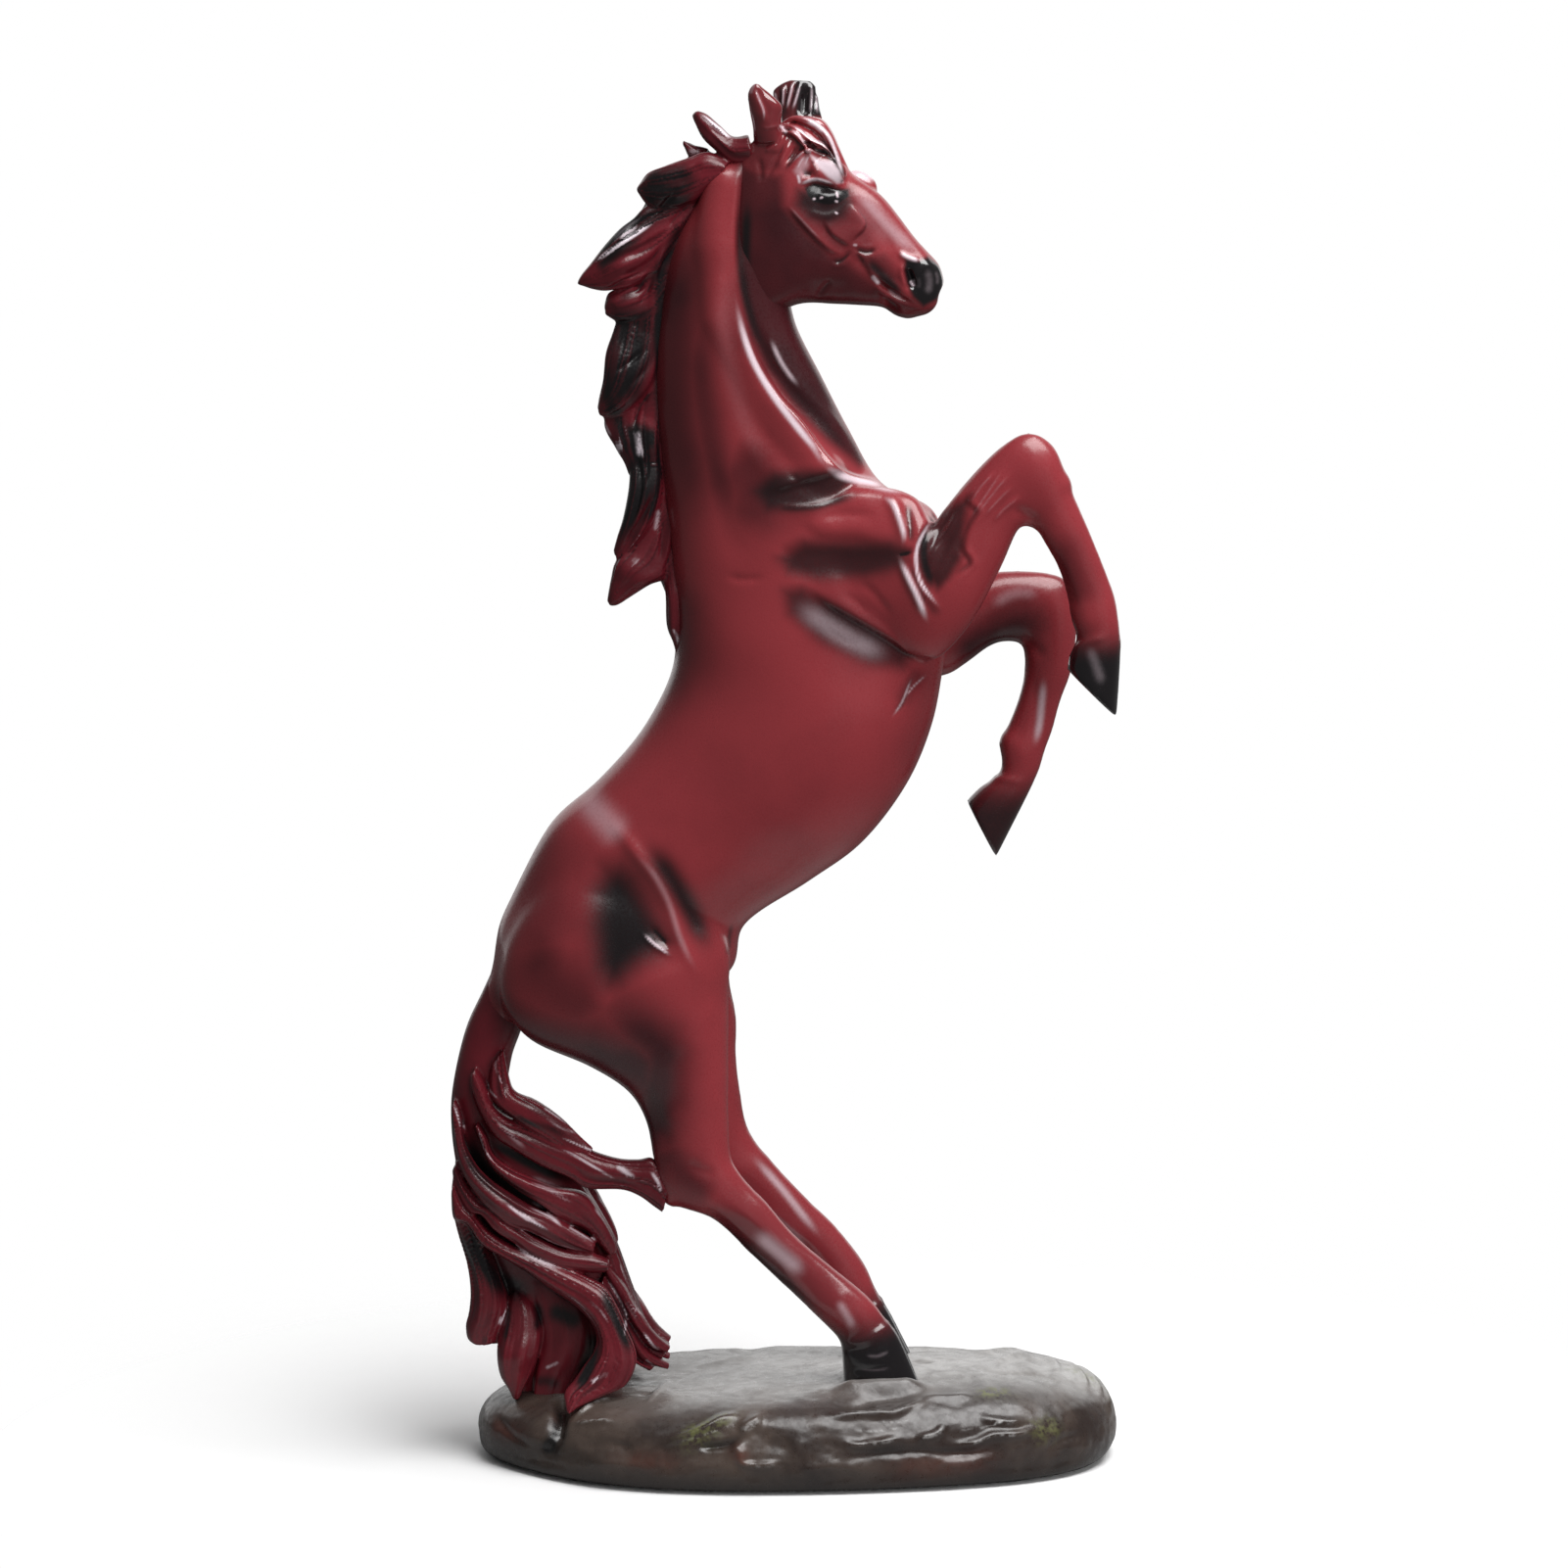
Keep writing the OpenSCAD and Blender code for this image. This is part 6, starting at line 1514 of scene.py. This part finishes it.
plinth = {
    "length": 143.5, "depth": 75, "height": 21, "felt": 0.8, "middle": 3,
    "around": 320, "steps": 8, "voxel": 0.42, "evening": 4,
    # Share of the height, share of the plan
    "levels": [[0, 0.965], [0.12, 0.993], [0.36, 1], [0.6, 0.975], [0.78, 0.92], [0.9, 0.83],
               [0.97, 0.68], [1, 0.4]],
    "squareness": 0.92, "wave": 0.018, "waveTurns": (40, 70), "fall": 0.1, "slope": 0.75, "slopeCurve": 1.5,
    "inside": 0.98,
    # Rough stone: height, size of the lumps
    "lumps": [[0.7, 19], [0.4, 8], [0.18, 3.4], [0.09, 1.6]], "lumpStretch": (1, 1, 1.6), "firstSeed": 3,
    # The lumps lie a little lower than the skin, calmer on top, and start above the foot.
    "lumpShift": 0.15, "topCalm": 0.35, "footZ": (1.2, 4), "facing": (0.15, 0.6), "reliefRounds": 10,
    # The top carries a painted sheen, but for its left end and its front edge: how level, x, y and the slant
    # of the edge
    "sheenLevel": (0.55, 0.95), "sheenX": (-50, 5), "sheenY": (-34, -8), "sheenSlant": 0.12,
    # Black towards the foot: z where it starts and is full, strength
    "footBlackZ": (8, 0.9), "footBlack": 0.8,
    # Ridges and hollows of the top: line in x and y, height, width
    "topRidges": [
        [[7.7, -31.2, 12.1, -30.7, 16.3, -29.9, 20.3, -29.5, 24.1, -28.9, 27.7, -26.6,
          30.9, -24.2], 0.9, 0.9],
        [[29, -23.6, 36.6, -22.9, 41.5, -21], 0.6, 1.1],
        [[7.7, -24.6, 14.4, -27.4, 20.1, -24.8, 29, -23.6], -0.8, 1.6],
        [[-45.9, -22.9, -44.9, -21.7, -43.5, -20.6, -40, -18, -35.2, -15.6], 0.9, 0.6],
        [[-46.1, -23.1, -41.2, -25.5, -35.7, -27.2], 0.6, 0.6],
        [[-29.7, -22.7, -27.4, -12, -24.9, 0.8], 0.6, 0.7],
        [[-29.7, -13.6, -29.3, -13.7], -1.0, 0.8],
        [[-47.6, -8, -48.1, -11.6, -48.6, -18.8, -49.1, -22.1, -49.7, -27], -2.4, 1.8],
        [[41, 14, 43.9, 11, 48, 15, 52, 18, 56, 16], 0.6, 1.2],
        [[45.4, -1.5, 49.6, 7, 53.6, 8.7, 55.3, 2.2], 0.6, 1.0],
        [[57, 12, 59.9, 4.9, 59.4, -6.9], 0.6, 1.0],
        [[40.3, -2.1, 46.9, -7.1, 54.9, -6.1, 58.6, -9.2], -0.6, 1.2],
        [[62, 14, 64.8, 6.1, 66, -2, 66.1, -8.3], 0.6, 0.8],
        [[64.5, 15, 67.6, 5.8, 69.1, -2, 69.2, -7.4], 0.6, 0.8],
        [[67.5, 9.6, 70.2, 2.6, 71.6, -3.2, 71.9, -6.3], 0.6, 0.8],
        [[30, 0.4, 31.5, 0.4], -0.9, 1.0],
        [[-12, 22, -8, 26, -5, 31], -1.2, 3.0],
        [[-20, 8, -14, 14, -4, 16], 0.5, 2.0],
        [[0, -12, 4, -4, 2, 6], -0.5, 2.4],
        [[8, -19.4, 15, -20.4, 24, -20, 33, -17.6], 2.6, 2.4],
        [[34, 22, 42, 26, 50, 22], 0.6, 1.8],
        [[-52, 14, -46, 20, -38, 22], 0.7, 1.6],
        [[-60, 8, -56, 16, -48, 25], -0.8, 1.4]],
    # The same for the front, with lines in x and z
    "frontRidges": [
        [[-28.2, 9.9, -23.5, 11.5, -18.7, 13.1, -15.8, 14.3, -13.1, 15.5, -9.5, 16.2,
          -7, 16.4], 1.1, 0.9],
        [[-9.9, 13.2, -7.2, 14.6, -4.3, 16], 1.0, 1.1],
        [[-18.9, 10.5, -16, 10.4, -12.2, 11, -8.5, 12.2], -1.2, 0.8],
        [[-10.8, 9.5, -9.5, 7.7, -8.5, 6.9, -4.3, 6.7, -0.1, 7.3], 0.9, 0.7],
        [[-10.1, 10, -8.9, 8.9], 0.9, 1.1],
        [[-4.3, 11.6, -0.1, 10.8], -0.7, 2.4],
        [[11.8, 11.4, 14.1, 10.7, 16.6, 10.5, 21.5, 11, 26.3, 11.6], 1.0, 0.9],
        [[27.8, 11.5, 30.3, 11.6, 32.6, 12.1, 33.9, 13, 35.2, 14.2], 1.0, 0.9],
        [[35.1, 9.9, 38.1, 9.8, 41.2, 10, 44.7, 11.1, 50.6, 11, 55.2, 11.9], 1.1, 0.9],
        [[41.3, 15.3, 44.3, 14.3, 47.2, 13.6, 50.2, 13.3, 53, 13.4], 0.7, 0.8],
        [[14, 8.6, 22, 8.8, 30, 8.8, 38, 7.8, 48, 8.8], -0.8, 1.1],
        [[-49.7, 12, -49.5, 9.9, -50.8, 7.2, -51.5, 4.5], -1.2, 1.5],
        [[-62, 7.5, -57, 10], 1.0, 4.2],
        [[-63.5, 11.6, -59.5, 8.4, -55, 7], -0.6, 0.9],
        [[-45, 8, -38, 10, -31, 8.4], -0.6, 1.2],
        [[-44, 5, -36, 6, -26, 5], 0.7, 1.4],
        [[2, 5, 10, 6.4, 20, 5], 0.6, 1.4],
        [[56, 6.6, 61, 9, 66, 8.4], -0.6, 1.2]],
    # Painted highlights on ridges of the top: number of the ridge, strength, width
    "topHighlight": [[0, 0.36, 0.8], [3, 0.5, 0.72], [4, 0.45, 0.52], [5, 0.35, 0.78]],
    # Other paint: line, strength, width
    # Painted highlights on the ridges of the front
    "frontHighlight": [
        [[-16, 14.2, -13.1, 15.5, -9.5, 16.2, -7, 16.4], 0.25, 0.78],
        [[-9.9, 13.2, -7.2, 14.6, -4.3, 16], 0.42, 1],
        [[-9.5, 7.7, -8.5, 6.9, -4.3, 6.7, -0.1, 7.3], 0.3, 0.65],
        [[11.8, 11.6, 14.1, 10.9, 16.6, 10.7, 21.5, 11.2, 26.3, 11.8], 0.36, 0.7],
        [[27.8, 11.7, 30.3, 11.8, 32.6, 12.3, 33.9, 13.2, 35.2, 14.4], 0.4, 0.7],
        [[35.1, 10.1, 38.1, 10, 41.2, 10.2, 44.7, 11.3, 50.6, 11.2, 55.2, 12.1], 0.36, 0.6],
        [[41.3, 15.4, 44.3, 14.4, 47.2, 13.7, 50.2, 13.4, 53, 13.5], 0.3, 0.78],
        [[13, 13.6, 20, 13, 28, 14], 0.4, 0.4],
        [[18, 15, 25, 14.6, 31, 16], 0.4, 0.35], [[-18, 12.6, -14, 13.6, -10, 14.8], 0.4, 0.35],
        [[-24, 11, -19, 12, -15, 13], 0.3, 0.35],
        [[36, 12.6, 43, 12.8, 49, 14.8], 0.35, 0.35]],
    "topMoss": [
        [[41.5, -21.4, 45.4, -19.4, 49.4, -19.9], 0.9, 1.8],
        [[52.6, -26.5, 56.4, -24.3, 60.6, -21.6], 0.9, 1.6],
        [[-23.1, -34.1, -16.4, -32.8, -9.6, -30], 0.9, 1.5],
        [[62.6, 6.5, 67.1, 1.6, 70.5, -0.4], 0.7, 3.0],
        [[-60, 14, -54, 22, -44, 27], 0.7, 3.0],
        [[20, 24, 34, 29, 46, 27], 0.7, 2.6]],
    "frontEarth": [
        [[19, 5.4, 27, 5.2, 35.5, 5.4, 48.2, 6.2], 0.55, 3.0],
        [[-49, 13.6, -49.2, 11.4], 0.9, 1.2],
        [[-66, 9, -60, 8, -54, 8], 0.7, 2.6],
        [[-10, 9.4, -9, 8.4], 0.8, 1.6],
        [[-40, 6, -30, 7, -20, 6], 0.5, 2.0]],
    # Black in the crevices and at the foot of the near hind hoof: painted shade
    "topShade": [
        [[12.6, -16, 16.2, -17.8, 20.4, -16.9], 0.8, 1.6],
        [[-48.1, -11.6, -48.6, -18.8, -49.1, -22.1, -49.5, -25.6], 0.85, 1.3]],
    "frontShade": [
        [[-49.4, 14, -49.5, 9.9, -50.8, 7.2, -51.5, 4.5], 0.9, 1.8],
        [[-20, 10.2, -14, 10.4, -8, 11.6], 0.6, 1.2], [[12, 8.8, 22, 8.8, 32, 8.6, 44, 8.6], 0.6, 1.4],
        [[-70, 6, -60, 5, -44, 6, -30, 5], 0.5, 3]],
}


def makePlinth():
    levels = refined(plinth["levels"], plinth["steps"])
    a = np.linspace(0, 2 * math.pi, plinth["around"], endpoint=False)
    ca, sa = np.cos(a), np.sin(a)
    one, other = (math.radians(turn) for turn in plinth["waveTurns"])
    wave = 1 + plinth["wave"] * (np.sin(3 * a + one) + np.sin(5 * a - other))
    half = plinth["inside"] * wave / 2
    plan = np.stack([np.sign(ca) * np.abs(ca) ** plinth["squareness"] * plinth["length"] * half,
                     np.sign(sa) * np.abs(sa) ** plinth["squareness"] * plinth["depth"] * half], 1)
    rings = []
    for level, share in levels:
        high = np.clip(level, 0, 1) ** (1 + plinth["slope"] * np.maximum(0, -sa) ** plinth["slopeCurve"])
        drop = 1 - plinth["fall"] * high * (1 - ca)
        z = plinth["felt"] + (plinth["height"] - plinth["felt"]) * high * drop
        rings.append(np.column_stack([plan * share, z]))
    rings = np.array(rings)
    rings[:, :, 0] += plinth["middle"]
    return closedSkin(rings)


# Marks seen from above or from the front, added up where the rock faces that way
def rockMarks(points, rows, seenFrom, share):
    total = np.zeros(len(points))
    for line, amount, width in rows:
        total += amount * stroke(points[:, seenFrom], linePoints(line), width)
    return total * share


def finishPlinth():
    skin = Skin(*evenSkin([makePlinth()], plinth["voxel"]))
    skin.smooth(plinth["evening"])
    above, ahead = [0, 1], [0, 2]
    normals, p = skin.normals(), skin.points
    free = softStep(*plinth["footZ"], p[:, 2])
    up, front = softStep(*plinth["facing"], normals[:, 2]), softStep(*plinth["facing"], -normals[:, 1])
    rough = np.zeros(len(p))
    for k, (height, size) in enumerate(plinth["lumps"]):
        lumps = stoneNoise(p * np.array(plinth["lumpStretch"]), size, plinth["firstSeed"] + k)
        rough += height * (lumps - plinth["lumpShift"]) * (1 - plinth["topCalm"] * up)
    rough += (rockMarks(p, plinth["topRidges"], above, up)
              + rockMarks(p, plinth["frontRidges"], ahead, front))
    skin.points = p + normals * (rough * free)[:, None]
    skin.smooth(1)
    relief = skin.relief(plinth["reliefRounds"])
    normals, p = skin.normals(), skin.points
    x, y, z = p.T
    # Painted sheen where the top faces up
    crown = softStep(*plinth["sheenLevel"], normals[:, 2]) * softStep(*plinth["sheenX"], x)
    crown = crown * softStep(*plinth["sheenY"], y - plinth["sheenSlant"] * x)
    # Painted highlights on the ridges
    topHighlight = [[plinth["topRidges"][k][0], strength, width] for k, strength, width in plinth["topHighlight"]]
    # Black towards the foot, and painted shade in the crevices and at the hoof
    foot = plinth["footBlack"] * softStep(*plinth["footBlackZ"], z)
    darkening = [foot, rockMarks(p, plinth["topShade"], above, up),
              rockMarks(p, plinth["frontShade"], ahead, front)]
    layers = {
        "relief": relief,
        "crown": crown,
        "highlight": rockMarks(p, topHighlight, above, up) + rockMarks(p, plinth["frontHighlight"], ahead, front),
        "moss": rockMarks(p, plinth["topMoss"], above, up),
        "earth": rockMarks(p, plinth["frontEarth"], ahead, front),
        "black": np.maximum.reduce(darkening)}
    piece = addObject("rock_plinth", skinMesh("rock_plinth", skin, layers))
    piece.data.materials.append(rock)
    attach(piece, "root")
    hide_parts("plinth")
    print("stage: plinth,", len(p), "points")


finishPlinth()


# Felt feet, dowels and rods keep their shape and take their own materials:
# nodes, both tones, grain, roughness, metal share, stretch of the grain
innerLook = {
    "felt_fibre": [["felt_feet"], tone(28, 28, 30), tone(62, 62, 66), 2600, 0.9, 0.0, (1, 1, 1)],
    "beech_grain": [["neck_dowel", "foreleg_dowels", "thigh_dowels", "tail_dowel"],
                    tone(176, 140, 94), tone(214, 184, 138), 400, 0.6, 0.0, (6, 6, 1)],
    "drawn_steel": [["hoof_rods", "tail_rod"],
                    tone(120, 123, 127), tone(182, 185, 189), 900, 0.34, 1.0, (8, 8, 0.5)]}


def innerMaterial(name, dark, light, scale, roughness, metallic, stretch):
    n = Nodes(name)
    place = n.add("ShaderNodeTexCoord").outputs["Object"]
    turned = n.add("ShaderNodeMapping", Vector=place, Scale=stretch).outputs[0]
    grain = n.add("ShaderNodeTexNoise", Vector=turned, Scale=scale, Detail=6.0).outputs["Fac"]
    return n.finish(Base_Color=n.mix(n.span(grain, 0.3, 0.7, 0, 1), dark, light), Metallic=metallic,
                    Roughness=n.span(grain, 0.3, 0.7, roughness - 0.08, roughness + 0.08),
                    Normal=n.bump(grain, 0.3, 0.0003))


for look, (nodes, *finish) in innerLook.items():
    material = innerMaterial(look, *finish)
    for name in nodes:
        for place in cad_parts[name].material_slots:
            place.material = material
print("stage: inner pieces finished")


# Stage, lights and camera

stageLook = {
    # The floor fades out between two distances. It is bright to the camera and darker as a light from below.
    "floor": 6.0, "fade": (0.09, 0.22),
    "floorSeen": (0.96, 0.96, 0.96, 1), "floorLight": (0.36, 0.36, 0.36, 1),
    # Strength of the sky as the camera sees it and as a light
    "sky": (1, 0.11),
    "lens": 127.09, "sensor": 36, "camera": (0, -1.191055, 0.294843), "tilt": 83,
    # Name, place, aim, width, height, power, whether it is mirrored in the paint
    "lamps": [
        ["top_box", (0.38, -0.3, 1.2), (0, 0, 0.12), 1.0, 0.8, 19, True],
        ["rear_wall", (0, 1.7, 0.9), (0, 0, 0.3), 3.6, 1.8, 18, True],
        ["front_fill", (1.1, -1.6, 0.45), (0, 0, 0.15), 1.4, 1.2, 20, False]],
}


def makeFloor():
    half = stageLook["floor"] / 2
    corners = [(-half, -half, 0), (half, -half, 0), (half, half, 0), (-half, half, 0)]
    mesh = bpy.data.meshes.new("floor")
    mesh.from_pydata(corners, [], [(0, 1, 2, 3)])
    floor = addObject("floor", mesh)
    n = Nodes("floor_white")
    place = n.add("ShaderNodeTexCoord").outputs["Object"]
    away = n.add("ShaderNodeVectorMath", {"operation": "LENGTH"}, Vector=place).outputs["Value"]
    seen = n.add("ShaderNodeLightPath").outputs["Is Camera Ray"]
    colour = n.mix(seen, stageLook["floorLight"], stageLook["floorSeen"])
    shader = n.add("ShaderNodeBsdfDiffuse", Color=colour)
    clear = n.add("ShaderNodeBsdfTransparent")
    mix = n.add("ShaderNodeMixShader")
    n.put(mix.inputs[0], n.span(away, *stageLook["fade"], 0, 1))
    n.put(mix.inputs[1], shader.outputs[0])
    n.put(mix.inputs[2], clear.outputs[0])
    out = n.add("ShaderNodeOutputMaterial")
    n.put(out.inputs[0], mix.outputs[0])
    mesh.materials.append(n.material)


def makeLamps():
    for name, place, aim, width, height, power, mirrored in stageLook["lamps"]:
        lamp = bpy.data.lights.new(name, "AREA")
        lamp.shape = "RECTANGLE"
        lamp.size, lamp.size_y, lamp.energy = width, height, power
        piece = bpy.data.objects.new(name, lamp)
        piece.location = place
        piece.rotation_euler = (Vector(aim) - Vector(place)).to_track_quat("-Z", "Y").to_euler()
        piece.visible_glossy = mirrored
        bpy.context.scene.collection.objects.link(piece)


# The sky is white to the camera and a dim light to everything else.
def makeSky():
    world = bpy.data.worlds.new("sky")
    world.use_nodes = True
    tree = world.node_tree
    tree.nodes.clear()
    path = tree.nodes.new("ShaderNodeLightPath")
    mix, out = tree.nodes.new("ShaderNodeMixShader"), tree.nodes.new("ShaderNodeOutputWorld")
    seen, felt = stageLook["sky"]
    for place, strength in ((2, seen), (1, felt)):
        light = tree.nodes.new("ShaderNodeBackground")
        light.inputs[0].default_value = (1, 1, 1, 1)
        light.inputs[1].default_value = strength
        tree.links.new(light.outputs[0], mix.inputs[place])
    tree.links.new(path.outputs["Is Camera Ray"], mix.inputs[0])
    tree.links.new(mix.outputs[0], out.inputs[0])
    bpy.context.scene.world = world


def makeCamera():
    data = bpy.data.cameras.new("camera")
    data.lens, data.sensor_width = stageLook["lens"], stageLook["sensor"]
    camera = bpy.data.objects.new("camera", data)
    camera.location = stageLook["camera"]
    camera.rotation_euler = (math.radians(stageLook["tilt"]), 0, 0)
    bpy.context.scene.collection.objects.link(camera)
    bpy.context.scene.camera = camera


makeFloor()
makeLamps()
makeSky()
makeCamera()
bpy.context.scene.view_settings.view_transform = "Standard"
print("stage: floor, lamps and camera placed")
